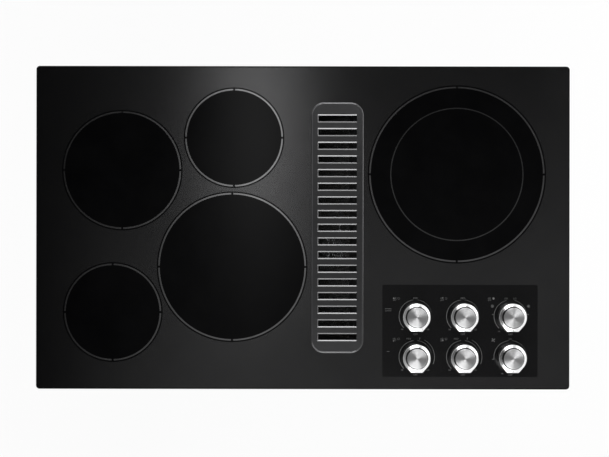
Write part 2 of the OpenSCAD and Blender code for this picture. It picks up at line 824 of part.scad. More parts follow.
// Heating ribbon on edge: open rings joined end to end, wound out from r0 to r1 as one strip
module ribbon(r0, r1) {
    turns = floor((r1 - r0) / ribbon_pitch);
    gap = 9;
    end_lap = 0.4;
    far = 2 * r1;
    linear_extrude(ribbon_h)
    for (i = [0 : turns]) {
        r = r0 + i * ribbon_pitch;
        difference() {
            circle(r + ribbon_t / 2);
            circle(r - ribbon_t / 2);
            polygon([[0, 0], [far * cos(gap), -far * sin(gap)], [far * cos(gap), far * sin(gap)]]);
        }
        if (i < turns)
            mirror([0, i % 2, 0]) rotate(-gap)
                translate([r, -ribbon_t - end_lap]) square([ribbon_pitch, ribbon_t]);
    }
}

module element_coil(e) {
    z = glass_under - seat_gap - dish_depth + dish_t + insulation_base;
    heated = e[3] + dish_reach - dish_t - 0.2 - insulation_wall - 3;
    color([0.3, 0.28, 0.26])
    translate([e[1], e[2], z]) rotate(e[5] + 90) {
        if (e[4] > 0) {
            ribbon(ribbon_start_r, e[4] - 8);
            ribbon(e[4] + 7, heated);
        } else {
            ribbon(ribbon_start_r, heated);
        }
    }
}

module element_limiters() {
    color([0.8, 0.8, 0.78])
    for (e = ELEMENTS) translate([e[1], e[2], limiter_z]) rotate(e[5]) {
        edge = e[3] + dish_reach + seat_gap;
        tube_in = e[3] - insulation_wall - 4;
        translate([-tube_in, 0, 0]) rotate([0, 90, 0]) cylinder(r = limiter_r, h = tube_in + edge + 1);
        translate([edge, -limiter_block_w / 2, limiter_r + 1 - limiter_block_h])
            cube([limiter_block_l, limiter_block_w, limiter_block_h]);
    }
}

module control_bracket() {
    half_w = control_pitch_x + switch_w / 2 + 8;
    half_d = control_pitch_y / 2 + switch_d / 2 + 2;
    foot = 12;
    color([0.62, 0.64, 0.66])
    translate([control_x, control_y, 0])
    difference() {
        union() {
            translate([-half_w, -half_d, bracket_z - bracket_t]) cube([2 * half_w, 2 * half_d, bracket_t]);
            for (side = [0, 1]) mirror([side, 0, 0]) {
                translate([half_w - bracket_t, -half_d, floor_top])
                    cube([bracket_t, 2 * half_d, bracket_z - floor_top]);
                translate([half_w - bracket_t, -half_d, floor_top]) cube([foot, 2 * half_d, bracket_t]);
            }
        }
        translate([-control_x, -control_y, bracket_z - bracket_t - 1])
            at_controls() cylinder(r = bushing_r + 0.3, h = bracket_t + 2);
    }
}

module switch_housing(c) {
    terminal_z = switch_z - switch_h - terminal[2];
    color([0.85, 0.83, 0.78])
    at_control(c)
    difference() {
        union() {
            translate([-switch_w / 2, -switch_d / 2, switch_z - switch_h])
                cube([switch_w, switch_d, switch_h]);
            translate([0, 0, switch_z - 1]) cylinder(r = bushing_r, h = bracket_t + bushing_h + 1);
            for (i = [-2 : 2])
                translate([i * 6.5 - terminal[0] / 2, i % 2 == 0 ? 8 : -14, terminal_z])
                    cube([terminal[0], terminal[1], terminal[2] + 1]);
        }
        translate([0, 0, pocket_z]) cylinder(r = pocket_r, h = pocket_h);
        translate([0, 0, pocket_z - push_travel - 1]) cylinder(r = shaft_r + 0.5, h = push_travel + 2);
        translate([0, 0, pocket_z]) cylinder(r = shaft_r + run_gap, h = glass_top - pocket_z);
    }
}

module switch_cam(c) {
    lobe_r = cam_r - 1.5;
    color([0.9, 0.9, 0.88])
    at_control(c) translate([0, 0, cam_z]) linear_extrude(cam_t) difference() {
        union() {
            circle(cam_r);
            translate([0, cam_lobe - lobe_r]) circle(lobe_r);
        }
        d_outline(shaft_r + run_gap, shaft_flat + run_gap);
    }
}

module control_shaft(c) {
    z0 = cam_z + 0.5;
    color([0.75, 0.75, 0.77])
    at_control(c) translate([0, 0, z0])
        linear_extrude(knob_z + knob_bore - 0.5 - z0) d_outline(shaft_r, shaft_flat);
}

// Foot of a knob: a circle drawn out to the flat end of its pointer lug, set in by inset
module lug_outline(inset) {
    hull() {
        circle(knob_r - inset);
        translate([inset - lug_w / 2, inset - lug_reach]) square([lug_w - 2 * inset, 1]);
    }
}

module knob(c) {
    foot_h = 1.8;
    foot_step = 0.5;
    side_edge = 0.8;
    groove_depth = 1.6;
    disc_edge = 0.5;
    rib_t = 1.6;
    rib_z = 6;
    rim_r = knob_disc_r + knob_groove_w;
    crest = knob_h - shoulder_drop;
    side_h = crest - shoulder_fall;
    groove_floor = crest - groove_depth;
    cavity_r = knob_r - 2 - knob_wall;
    cavity_h = groove_floor - knob_wall;
    color([0.78, 0.78, 0.79])
    at_control(c) translate([0, 0, knob_z])
    difference() {
        union() {
            linear_extrude(foot_h) lug_outline(0);
            hull() {
                linear_extrude(side_h - side_edge) lug_outline(foot_step);
                linear_extrude(side_h) lug_outline(foot_step + side_edge / 2);
                cylinder(r = rim_r + disc_edge, h = crest);
            }
            translate([0, 0, groove_floor - eps])
                cylinder(r = knob_disc_r, h = knob_h - disc_edge - groove_floor + eps);
            translate([0, 0, knob_h - disc_edge - eps])
                cylinder(r1 = knob_disc_r, r2 = knob_disc_r - disc_edge, h = disc_edge + eps);
        }
        translate([0, 0, groove_floor]) linear_extrude(shoulder_drop) difference() {
            circle(rim_r);
            circle(knob_disc_r);
        }
        difference() {
            translate([0, 0, -1]) cylinder(r = cavity_r, h = cavity_h + 1);
            translate([0, 0, -1]) cylinder(r = knob_boss_r, h = cavity_h + 2);
            for (a = [0 : 120 : 240])
                rotate(a) translate([0, -rib_t / 2, rib_z]) cube([cavity_r + 1, rib_t, cavity_h]);
        }
        translate([0, 0, -1]) linear_extrude(knob_bore + 1)
            d_outline(shaft_r + press_gap, shaft_flat + press_gap);
    }
}

module junction_box() {
    z1 = -box_depth;
    wall = 1.2;
    color([0.62, 0.64, 0.66])
    difference() {
        union() {
            translate([jbox_x, jbox_y, 0]) difference() {
                rounded_plate(jbox_w, jbox_w, 4, z1 - jbox_h, z1);
                rounded_plate(jbox_w - 2 * wall, jbox_w - 2 * wall, 4 - wall, z1 - jbox_h - 1, z1 - wall);
            }
            for (p = JBOX_SCREWS) translate([p[0] - 5, p[1] - 6, z1 - jbox_h]) cube([10, 12, wall]);
        }
        translate([jbox_x, jbox_y, z1 - wall - 1]) cylinder(r = knockout_r, h = wall + 2);
        translate([jbox_x, jbox_y + jbox_w / 2 + 1, z1 - jbox_h / 2])
            rotate([90, 0, 0]) cylinder(r = knockout_r, h = wall + 2);
        for (p = JBOX_SCREWS) translate([p[0], p[1], z1 - jbox_h - 1]) cylinder(r = screw_hole_r, h = 4);
    }
}

module junction_box_cover() {
    z1 = -box_depth - jbox_h;
    color([0.66, 0.68, 0.7])
    difference() {
        translate([jbox_x, jbox_y, 0]) rounded_plate(jbox_w, jbox_w, 4, z1 - 1.2, z1);
        for (p = JBOX_SCREWS) translate([p[0], p[1], z1 - 3]) cylinder(r = screw_hole_r, h = 4);
    }
}

module hold_down_brackets() {
    color([0.62, 0.64, 0.66])
    for (c = CLAMPS) translate([c[0] * box_w / 2, c[1], 0]) mirror([c[0] < 0 ? 1 : 0, 0, 0])
        difference() {
            union() {
                translate([0, -clamp_w / 2, clamp_leg_z]) cube([clamp_t, clamp_w, clamp_leg_h]);
                translate([0, -clamp_w / 2, clamp_leg_z]) cube([clamp_reach, clamp_w, clamp_t]);
            }
            translate([clamp_hole_x, 0, clamp_leg_z - 1])
                cylinder(r = clamp_screw_r + run_gap, h = clamp_t + 2);
        }
}

// Screw with its head below and its shank up +Z from the joint face
module screw(r, grip, head_h) {
    translate([0, 0, -head_h]) cylinder(r = 2 * r, h = head_h);
    translate([0, 0, -eps]) cylinder(r = r, h = grip);
}

module sheet_screw() {
    screw(screw_r, screw_grip, screw_head_h);
}

module screws() {
    color([0.8, 0.8, 0.82]) {
        for (c = CLAMPS)
            translate([c[0] * (box_w / 2 + clamp_hole_x), c[1], clamp_leg_z - 8])
                screw(clamp_screw_r, -counter_t - seat_gap - clamp_leg_z + 8, 3);
        for (p = PLENUM_SCREWS) translate([p[0], p[1], -box_depth - 1.2]) sheet_screw();
        for (p = JBOX_SCREWS) translate([p[0], p[1], -box_depth - jbox_h - 1.2]) sheet_screw();
        for (p = MOTOR_SCREWS)
            translate([motor_x + 2, p[0], blower_z + p[1]]) rotate([0, -90, 0]) sheet_screw();
        for (p = COLLAR_SCREWS)
            translate([p[0], scroll_outlet + scroll_t, p[1]]) rotate([90, 0, 0]) sheet_screw();
    }
}

glass_top();
perimeter_seal();
burner_box();
control_bracket();
for (e = ELEMENTS) {
    element_dish(e);
    element_insulation(e);
    element_coil(e);
}
element_limiters();
for (c = CONTROLS) {
    knob(c);
    control_shaft(c);
    switch_cam(c);
    switch_housing(c);
}
vent_grille();
filter_frame();
filter_mesh();
plenum();
overflow_jar();
blower_housing();
blower_inlet_cover();
blower_wheel();
motor_body();
motor_shaft();
outlet_collar();
damper_flap();
junction_box();
junction_box_cover();
hold_down_brackets();
screws();
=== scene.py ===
"""Dresses the downdraft electric cooktop: printed glass, spun knobs, vent grille and the works below."""

import math

import bmesh
import bpy
from mathutils import Matrix, Vector


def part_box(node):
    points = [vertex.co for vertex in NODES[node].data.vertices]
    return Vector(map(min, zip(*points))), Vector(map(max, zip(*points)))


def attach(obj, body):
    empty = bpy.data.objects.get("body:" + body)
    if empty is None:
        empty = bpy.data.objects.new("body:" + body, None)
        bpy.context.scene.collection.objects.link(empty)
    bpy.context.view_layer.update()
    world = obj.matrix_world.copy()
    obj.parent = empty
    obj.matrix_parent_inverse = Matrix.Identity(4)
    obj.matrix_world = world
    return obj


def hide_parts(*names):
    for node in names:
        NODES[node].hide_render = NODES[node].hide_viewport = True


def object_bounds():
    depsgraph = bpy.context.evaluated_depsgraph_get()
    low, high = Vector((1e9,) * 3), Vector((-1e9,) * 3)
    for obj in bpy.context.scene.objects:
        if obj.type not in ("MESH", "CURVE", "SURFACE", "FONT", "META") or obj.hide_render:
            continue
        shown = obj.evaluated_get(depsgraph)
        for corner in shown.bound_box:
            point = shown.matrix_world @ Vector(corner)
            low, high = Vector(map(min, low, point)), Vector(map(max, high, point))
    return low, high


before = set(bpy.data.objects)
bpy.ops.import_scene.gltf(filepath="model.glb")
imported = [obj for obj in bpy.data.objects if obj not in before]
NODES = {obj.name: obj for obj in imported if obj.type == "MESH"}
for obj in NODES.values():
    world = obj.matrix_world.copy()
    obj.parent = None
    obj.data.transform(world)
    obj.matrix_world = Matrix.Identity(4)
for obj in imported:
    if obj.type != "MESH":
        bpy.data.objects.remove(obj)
CAD_LOW, CAD_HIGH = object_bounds()

bl_info = {
    "name": "Downdraft Cooktop",
    "version": (1, 0, 0),
    "blender": (4, 5, 0),
    "location": "View3D > Sidebar > Cooktop",
    "description": "Finishes and fine pieces for a downdraft electric cooktop",
    "category": "Object",
}

MM = 0.001
GLASS_LOW, GLASS_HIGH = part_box("glass_top")
GLASS_Z = GLASS_HIGH.z
ELEMENTS = ("left_rear", "mid_rear", "left_front", "mid_front", "right")
CONTROLS = ("left_rear", "mid_rear", "right", "left_front", "mid_front", "fan")
DISH_REACH = 4.5 * MM  # A dish's rim beyond its printed ring.
SLOTS, SLOT_LENGTH = 17, 67 * MM
SLOT_END = 27.3 * MM  # From the grille's end to the middle of its last slot.
BEAD_STEP = 0.8 * MM  # The grille's plate lies this far below its bead.
KNOB_RADIUS = 23.5 * MM
LUG_HALF, LUG_REACH = 10 * MM, 24.5 * MM
FILTER_SLOPE = math.radians(52)
BOX_FLANGE = 4 * MM
PLENUM_WIDTH, PLENUM_FLANGE = 94 * MM, 13 * MM
PLENUM_HALF_DEPTH, PLENUM_DRAWN_IN = 218 * MM, 98 * MM
PLENUM_BEND_Z, PLENUM_FLOOR_Z = -150 * MM, -330 * MM
BLOWER_Z = -226 * MM
COLLAR_RADIUS = 75.6 * MM
FLOOR_REACH = 25.0
LAMP_SIZE, LAMP_DISTANCE = 1.3, 1.8

FLOAT, VECTOR = "NodeSocketFloat", "NodeSocketVector"


def middle(node):
    """Centre of a CAD node's box."""
    low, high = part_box(node)
    return (low + high) / 2


def ring_of(element):
    """Centre and radius of an element's printed ring, from the dish below the glass."""
    low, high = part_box("element_dish_" + element)
    return (low + high) / 2, (high.x - low.x) / 2 - DISH_REACH


def axis_of(control):
    """A control's axis on the glass, from its knob, whose lug reaches further at the front."""
    low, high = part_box("knob_" + control)
    return Vector(((low.x + high.x) / 2, high.y - KNOB_RADIUS, low.z))


class CooktopPrintSettings(bpy.types.PropertyGroup):
    """Print on the glass."""

    ring_width: bpy.props.FloatProperty(
        name="Ring width", description="Width of an element's printed ring", default=2.65 * MM, subtype="DISTANCE"
    )
    ring_gap: bpy.props.FloatProperty(
        name="Ring gap", description="Length of the four gaps in a ring", default=3.5 * MM, subtype="DISTANCE"
    )
    ring_moat: bpy.props.FloatProperty(
        name="Moat", description="Bare glass from a ring's middle to the field", default=3.8 * MM, subtype="DISTANCE"
    )
    inner_ring_radius: bpy.props.FloatProperty(
        name="Inner ring", description="Radius of the ring between two zones", default=113.6 * MM, subtype="DISTANCE"
    )
    field_margin: bpy.props.FloatProperty(
        name="Field margin", description="Bare glass along the edge", default=2.6 * MM, subtype="DISTANCE"
    )
    panel_size: bpy.props.FloatVectorProperty(
        name="Panel size", description="Size of the control field", default=(267 * MM, 158.4 * MM), size=2,
        subtype="XYZ_LENGTH",
    )
    panel_offset: bpy.props.FloatVectorProperty(
        name="Panel offset", description="Control field's centre from the middle of the knobs",
        default=(-5.1 * MM, 9.8 * MM), size=2, subtype="XYZ_LENGTH",
    )
    dial_radius: bpy.props.FloatProperty(
        name="Dial radius", description="Radius of the arc printed round a knob", default=28.2 * MM, subtype="DISTANCE"
    )
    film: bpy.props.FloatProperty(
        name="Film", description="Thickness of the print", default=0.04 * MM, subtype="DISTANCE"
    )
    field_colour: bpy.props.FloatVectorProperty(
        name="Field colour", description="Colour of the field's dots", default=(0.35, 0.35, 0.354), size=3,
        subtype="COLOR",
    )
    ring_colour: bpy.props.FloatVectorProperty(
        name="Ring colour", description="Colour of the rings", default=(0.56, 0.56, 0.565), size=3, subtype="COLOR"
    )
    legend_colour: bpy.props.FloatVectorProperty(
        name="Legend colour", description="Colour of the dials and marks", default=(0.15, 0.15, 0.15), size=3,
        subtype="COLOR",
    )


class CooktopMetalSettings(bpy.types.PropertyGroup):
    """Metal finishes."""

    knob_colour: bpy.props.FloatVectorProperty(
        name="Knob colour", description="Colour of the spun knobs", default=(0.92, 0.92, 0.925), size=3, subtype="COLOR"
    )
    grille_colour: bpy.props.FloatVectorProperty(
        name="Grille colour", description="Colour of the satin grille", default=(0.105, 0.105, 0.108), size=3,
        subtype="COLOR",
    )
    # Also the colour of the painted highlights on the grille's ends and right side.
    polish_colour: bpy.props.FloatVectorProperty(
        name="Polished edge colour", description="Colour of the grille's polished edges", default=(0.26, 0.26, 0.264),
        size=3, subtype="COLOR",
    )
    steel_colour: bpy.props.FloatVectorProperty(
        name="Sheet steel colour", description="Colour of the zinc-coated sheet", default=(0.56, 0.58, 0.6), size=3,
        subtype="COLOR",
    )
    groove_pitch: bpy.props.FloatProperty(
        name="Groove pitch", description="Spacing of the spun grooves", default=0.42 * MM, subtype="DISTANCE"
    )


class CooktopStageSettings(bpy.types.PropertyGroup):
    """Floor, lamps and camera."""

    camera_height: bpy.props.FloatProperty(
        name="Camera height", description="Camera's height above the glass", default=1.5, subtype="DISTANCE"
    )
    camera_offset: bpy.props.FloatVectorProperty(
        name="Camera offset", description="Camera's place over the glass", default=(2.8 * MM, -1.4 * MM), size=2,
        subtype="XYZ_LENGTH",
    )
    frame_width: bpy.props.FloatProperty(
        name="Frame width", description="Width of the view at the glass", default=1.0469, subtype="DISTANCE"
    )
    camera_roll: bpy.props.FloatProperty(
        name="Camera roll", description="Camera's turn about its line of sight", default=math.radians(0.09),
        subtype="ANGLE",
    )
    floor_gap: bpy.props.FloatProperty(
        name="Floor gap", description="Room between the jar and the floor", default=0.09, subtype="DISTANCE"
    )
    floor_colour: bpy.props.FloatVectorProperty(
        name="Floor colour", description="Colour of the floor", default=(0.82, 0.82, 0.82), size=3, subtype="COLOR"
    )
    lamp_power: bpy.props.FloatProperty(
        name="Lamp power", description="Power of a soft lamp", default=9.0, subtype="POWER"
    )


def add(tree, kind, sockets=None, **settings):
    """A shader node with its settings, and its sockets given a value or linked."""
    node = tree.nodes.new(kind)
    for name, value in settings.items():
        setattr(node, name, value)
    for key, value in (sockets or {}).items():
        if isinstance(value, bpy.types.NodeSocket):
            tree.links.new(value, node.inputs[key])
        else:
            node.inputs[key].default_value = value
    return node


def maths(tree, operation, *values, clamp=False):
    """Result of a Math node."""
    node = add(tree, "ShaderNodeMath", dict(enumerate(values)), operation=operation)
    node.use_clamp = clamp
    return node.outputs["Value"]


def vector_maths(tree, operation, *values, **sockets):
    """Vector result of a Vector Math node."""
    node = add(tree, "ShaderNodeVectorMath", {**dict(enumerate(values)), **sockets}, operation=operation)
    return node.outputs["Vector"]


def flat_length(tree, vector):
    """Length of a vector seen from above."""
    flat = vector_maths(tree, "MULTIPLY", vector, (1.0, 1.0, 0.0))
    return add(tree, "ShaderNodeVectorMath", {0: flat}, operation="LENGTH").outputs["Value"]


def parts(tree, vector):
    """X, Y and Z of a vector."""
    return add(tree, "ShaderNodeSeparateXYZ", {"Vector": vector}).outputs


def noise(tree, point, scale, detail, **sockets):
    """Outputs of a noise texture at a point."""
    return add(tree, "ShaderNodeTexNoise", {"Vector": point, "Scale": scale, "Detail": detail, **sockets}).outputs


def remap(tree, value, low, high, to_low, to_high, smooth=False):
    """Value carried from one span to another."""
    node = add(
        tree, "ShaderNodeMapRange",
        {"Value": value, "From Min": low, "From Max": high, "To Min": to_low, "To Max": to_high},
    )
    node.interpolation_type = "SMOOTHSTEP" if smooth else "LINEAR"
    return node.outputs["Result"]


def mix_colours(tree, factor, first, second):
    """Two colours mixed by a factor that comes from a socket."""
    node = tree.nodes.new("ShaderNodeMix")
    node.data_type = "RGBA"
    tree.links.new(factor, node.inputs[0])
    for index, value in ((6, first), (7, second)):
        if isinstance(value, bpy.types.NodeSocket):
            tree.links.new(value, node.inputs[index])
        else:
            node.inputs[index].default_value = (*value[:3], 1.0)
    return node.outputs[2]


def object_point(tree):
    """The surface point in the part's own frame."""
    return add(tree, "ShaderNodeTexCoord").outputs["Object"]


def effect(name, inputs, outputs, build):
    """A shared node group, built once, with named inputs and outputs."""
    group = bpy.data.node_groups.get(name)
    if group is None:
        group = bpy.data.node_groups.new(name, "ShaderNodeTree")
        for label, kind, default in inputs:
            socket = group.interface.new_socket(name=label, in_out="INPUT", socket_type=kind)
            socket.default_value = default
        for label, kind in outputs:
            group.interface.new_socket(name=label, in_out="OUTPUT", socket_type=kind)
        start = group.nodes.new("NodeGroupInput")
        end = group.nodes.new("NodeGroupOutput")
        for label, value in build(group, start.outputs).items():
            group.links.new(value, end.inputs[label])
    return group


def place(tree, group, **sockets):
    """A shared effect placed in a material, with its own values."""
    node = tree.nodes.new("ShaderNodeGroup")
    node.node_tree = group
    for label, value in sockets.items():
        key = label.replace("_", " ")
        if isinstance(value, bpy.types.NodeSocket):
            tree.links.new(value, node.inputs[key])
        else:
            node.inputs[key].default_value = value
    return node.outputs


def patches_group():
    """Soft uneven patches, such as smudges or stains."""

    def build(tree, given):
        """Noise with its contrast drawn apart."""
        cloud = noise(tree, object_point(tree), given["Scale"], 5.0, Roughness=0.6)["Fac"]
        half = maths(tree, "DIVIDE", 0.5, given["Contrast"])
        low = maths(tree, "SUBTRACT", 0.5, half)
        high = maths(tree, "ADD", 0.5, half)
        return {"Mask": remap(tree, cloud, low, high, 0.0, 1.0, smooth=True)}

    return effect("Soft Patches", [("Scale", FLOAT, 20.0), ("Contrast", FLOAT, 2.0)], [("Mask", FLOAT)], build)


def grain_group():
    """Fine even grain, such as cast, painted or moulded skin."""

    def build(tree, given):
        """Coarse noise with a finer one on it."""
        point = object_point(tree)
        coarse = noise(tree, point, given["Scale"], 3.0)["Fac"]
        fine = noise(tree, point, maths(tree, "MULTIPLY", given["Scale"], 4.3), 2.0)["Fac"]
        height = maths(tree, "ADD", coarse, maths(tree, "MULTIPLY", fine, 0.4))
        return {"Height": height, "Mask": remap(tree, coarse, 0.35, 0.65, 0.0, 1.0)}

    return effect("Fine Grain", [("Scale", FLOAT, 900.0)], [("Height", FLOAT), ("Mask", FLOAT)], build)


def brushed_group():
    """Straight brushed lines: the noise is squeezed across them and stretched along them."""

    def build(tree, given):
        """Noise over a squeezed point."""
        squeezed = vector_maths(tree, "MULTIPLY", object_point(tree), given["Squeeze"])
        lines = noise(tree, squeezed, 1.0, 4.0, Roughness=0.7)["Fac"]
        return {"Height": lines, "Mask": remap(tree, lines, 0.3, 0.7, 0.0, 1.0)}

    outputs = [("Height", FLOAT), ("Mask", FLOAT)]
    return effect("Brushed Lines", [("Squeeze", VECTOR, (1.0, 1.0, 1.0))], outputs, build)


def spun_group():
    """Grooves turned round an upright axis, uneven from one groove to the next."""

    def build(tree, given):
        """Noise that changes only with the distance from the axis."""
        radius = flat_length(tree, vector_maths(tree, "SUBTRACT", object_point(tree), given["Axis"]))
        turns = maths(tree, "DIVIDE", radius, given["Pitch"])
        grooves = add(
            tree, "ShaderNodeTexNoise", {"W": turns, "Scale": 1.0, "Detail": 2.0}, noise_dimensions="1D"
        ).outputs["Fac"]
        return {"Height": grooves, "Mask": remap(tree, grooves, 0.35, 0.65, 0.0, 1.0)}

    inputs = [("Axis", VECTOR, (0.0, 0.0, 0.0)), ("Pitch", FLOAT, 0.0004)]
    return effect("Spun Grooves", inputs, [("Height", FLOAT), ("Mask", FLOAT)], build)


def spangle_group():
    """Crystal flakes of a zinc coat."""

    def build(tree, given):
        """Cells with bent borders, each with a shade of its own."""
        point = object_point(tree)
        bend = noise(tree, point, given["Scale"], 2.0)["Color"]
        moved = vector_maths(tree, "ADD", point, vector_maths(tree, "SCALE", bend, Scale=0.012))
        flakes = add(tree, "ShaderNodeTexVoronoi", {"Vector": moved, "Scale": given["Scale"]})
        shade = add(tree, "ShaderNodeSeparateColor", {"Color": flakes.outputs["Color"]}).outputs["Red"]
        return {"Mask": shade, "Height": maths(tree, "MULTIPLY", shade, 0.3)}

    return effect("Zinc Spangle", [("Scale", FLOAT, 140.0)], [("Mask", FLOAT), ("Height", FLOAT)], build)


def dot_group():
    """A fine screen of round dots on the glass, in staggered rows."""

    def build(tree, given):
        """Distance from the middle of each turned square cell."""
        cells = vector_maths(tree, "SCALE", object_point(tree), Scale=maths(tree, "DIVIDE", 1.0, given["Pitch"]))
        turned = add(
            tree, "ShaderNodeVectorRotate", {"Vector": cells, "Angle": math.radians(45)}, rotation_type="Z_AXIS"
        ).outputs["Vector"]
        centred = vector_maths(tree, "SUBTRACT", vector_maths(tree, "FRACTION", turned), (0.5, 0.5, 0.0))
        inner = maths(tree, "SUBTRACT", given["Dot"], 0.06)
        outer = maths(tree, "ADD", given["Dot"], 0.06)
        return {"Mask": remap(tree, flat_length(tree, centred), inner, outer, 1.0, 0.0, smooth=True)}

    return effect("Dot Screen", [("Pitch", FLOAT, 0.0013), ("Dot", FLOAT, 0.4)], [("Mask", FLOAT)], build)


def dust_group():
    """Dust that settles on what faces up."""

    def build(tree, given):
        """Uneven mask of the surface that faces up."""
        up = parts(tree, add(tree, "ShaderNodeNewGeometry").outputs["Normal"])["Z"]
        faces_up = remap(tree, up, 0.2, 0.95, 0.0, 1.0, smooth=True)
        cloud = noise(tree, object_point(tree), 34.0, 6.0)["Fac"]
        both = maths(tree, "MULTIPLY", faces_up, remap(tree, cloud, 0.35, 0.7, 0.25, 1.0))
        return {"Mask": maths(tree, "MULTIPLY", both, given["Amount"], clamp=True)}

    return effect("Settled Dust", [("Amount", FLOAT, 0.4)], [("Mask", FLOAT)], build)


def scuff_group():
    """Thin scratches that run at random, thickest in patches."""

    def build(tree, given):
        """Thin bands where two stretched noises pass their middle value."""
        point = object_point(tree)
        scratches = []
        for lean, stretch in ((0.4, (1.0, 0.05, 0.4)), (-0.9, (0.06, 1.0, 0.5))):
            turned = add(tree, "ShaderNodeVectorRotate", {"Vector": point, "Angle": lean}, rotation_type="Z_AXIS")
            pulled = vector_maths(tree, "MULTIPLY", turned.outputs["Vector"], stretch)
            band = noise(tree, pulled, given["Scale"], 1.0)["Fac"]
            away = maths(tree, "ABSOLUTE", maths(tree, "SUBTRACT", band, 0.5))
            scratches.append(remap(tree, away, 0.0, 0.008, 1.0, 0.0))
        here = remap(tree, noise(tree, point, 9.0, 2.0)["Fac"], 0.45, 0.7, 0.0, 1.0)
        lines = maths(tree, "MAXIMUM", *scratches)
        return {"Mask": maths(tree, "MULTIPLY", maths(tree, "MULTIPLY", lines, here), given["Amount"])}

    return effect("Scuffs", [("Scale", FLOAT, 160.0), ("Amount", FLOAT, 0.6)], [("Mask", FLOAT)], build)


def new_finish(name, colour, roughness, metallic=0.0, **sockets):
    """A material with a Principled shader, and the shader's own constant values."""
    material = bpy.data.materials.new(name)
    material.use_nodes = True
    tree = material.node_tree
    tree.nodes.clear()
    output = tree.nodes.new("ShaderNodeOutputMaterial")
    shader = tree.nodes.new("ShaderNodeBsdfPrincipled")
    tree.links.new(shader.outputs["BSDF"], output.inputs["Surface"])
    shader.inputs["Base Color"].default_value = (*colour[:3], 1.0)
    shader.inputs["Roughness"].default_value = roughness
    shader.inputs["Metallic"].default_value = metallic
    for label, value in sockets.items():
        shader.inputs[label.replace("_", " ")].default_value = value
    material.diffuse_color = (*colour[:3], 1.0)
    return material, tree, shader


def drive(tree, shader, **sockets):
    """Links values that change over the surface to the shader."""
    for label, value in sockets.items():
        tree.links.new(value, shader.inputs[label.replace("_", " ")])


def raise_surface(tree, shader, height, distance, strength=1.0):
    """Bump from a height, in metres."""
    bump = add(tree, "ShaderNodeBump", {"Height": height, "Distance": distance, "Strength": strength})
    tree.links.new(bump.outputs["Normal"], shader.inputs["Normal"])


def darker(colour, share):
    """A colour at a share of its brightness."""
    return tuple(channel * share for channel in colour[:3])


def ceramic_glass():
    """Smooth black glass-ceramic with the faintest smudges."""
    material, tree, shader = new_finish("ceramic_glass", (0.0014, 0.0014, 0.0016), 0.05, IOR=1.34)
    smudge = place(tree, patches_group(), Scale=14.0, Contrast=2.2)["Mask"]
    drive(
        tree, shader,
        Base_Color=mix_colours(tree, smudge, (0.001, 0.001, 0.0012), (0.002, 0.002, 0.0022)),
        Roughness=remap(tree, smudge, 0.0, 1.0, 0.035, 0.075),
    )
    raise_surface(tree, shader, noise(tree, object_point(tree), 9.0, 1.0)["Fac"], 0.05 * MM)
    return material


def printed_field():
    """Grey enamel dots on black glass."""
    colour = bpy.context.scene.cooktop_print.field_colour
    material, tree, shader = new_finish("printed_field", colour, 0.3, IOR=1.34)
    dots = place(tree, dot_group(), Pitch=1.25 * MM, Dot=0.4)["Mask"]
    cloud = place(tree, patches_group(), Scale=7.0, Contrast=1.5)["Mask"]
    enamel = mix_colours(tree, cloud, darker(colour, 0.92), darker(colour, 1.06))
    drive(
        tree, shader,
        Base_Color=mix_colours(tree, dots, (0.003, 0.003, 0.0033), enamel),
        Metallic=remap(tree, dots, 0.0, 0.04, 0.0, 1.0),
        Roughness=remap(tree, dots, 0.0, 1.0, 0.08, 0.12),
    )
    raise_surface(tree, shader, dots, 0.004 * MM, 0.3)
    return material


def print_ink(name, colour, metallic, roughness):
    """Screen-printed ink with a little unevenness."""
    material, tree, shader = new_finish(name, colour, roughness, metallic)
    grain = place(tree, grain_group(), Scale=1500.0)
    worn = place(tree, patches_group(), Scale=60.0, Contrast=2.0)["Mask"]
    drive(
        tree, shader,
        Base_Color=mix_colours(tree, worn, darker(colour, 0.86), darker(colour, 1.08)),
        Roughness=remap(tree, grain["Mask"], 0.0, 1.0, roughness * 0.85, roughness * 1.15),
    )
    raise_surface(tree, shader, grain["Height"], 0.004 * MM, 0.5)
    return material


def panel_ink():
    """Plain black of the control field."""
    return print_ink("panel_black", (0.0042, 0.0042, 0.0045), 0.0, 0.2)


def ring_ink():
    """Light grey of the element rings."""
    return print_ink("ring_grey", bpy.context.scene.cooktop_print.ring_colour, 1.0, 0.12)


def faint_ring_ink():
    """Dimmer grey of the ring between two zones."""
    return print_ink("inner_ring_grey", darker(bpy.context.scene.cooktop_print.ring_colour, 0.6), 1.0, 0.12)


def legend_ink():
    """Pale grey of the dials, ticks and marks."""
    return print_ink("legend_grey", bpy.context.scene.cooktop_print.legend_colour, 0.0, 0.45)


def knob_nickel(axis):
    """Satin nickel of a knob's body, brushed round its side, with painted shade: black down in the groove round the
    disc.
    """
    colour = bpy.context.scene.cooktop_metal.knob_colour
    material, tree, shader = new_finish("knob_nickel", colour, 0.22, 1.0)
    reach = flat_length(tree, vector_maths(tree, "SUBTRACT", object_point(tree), axis))
    # Painted shade: within this radius, on the groove round the disc and the knob's inner faces, the colour is black.
    inside = remap(tree, reach, 18.4 * MM, 18.25 * MM, 0.0, 1.0)
    lines = place(tree, brushed_group(), Squeeze=(90.0, 90.0, 2600.0))
    smudge = place(tree, patches_group(), Scale=90.0, Contrast=1.8)["Mask"]
    handled = mix_colours(tree, smudge, darker(colour, 0.94), colour)
    drive(
        tree, shader,
        Base_Color=mix_colours(tree, inside, handled, (0.004, 0.004, 0.004)),
        Roughness=remap(tree, lines["Mask"], 0.0, 1.0, 0.17, 0.27),
    )
    raise_surface(tree, shader, lines["Height"], 0.03 * MM, 0.5)
    return material


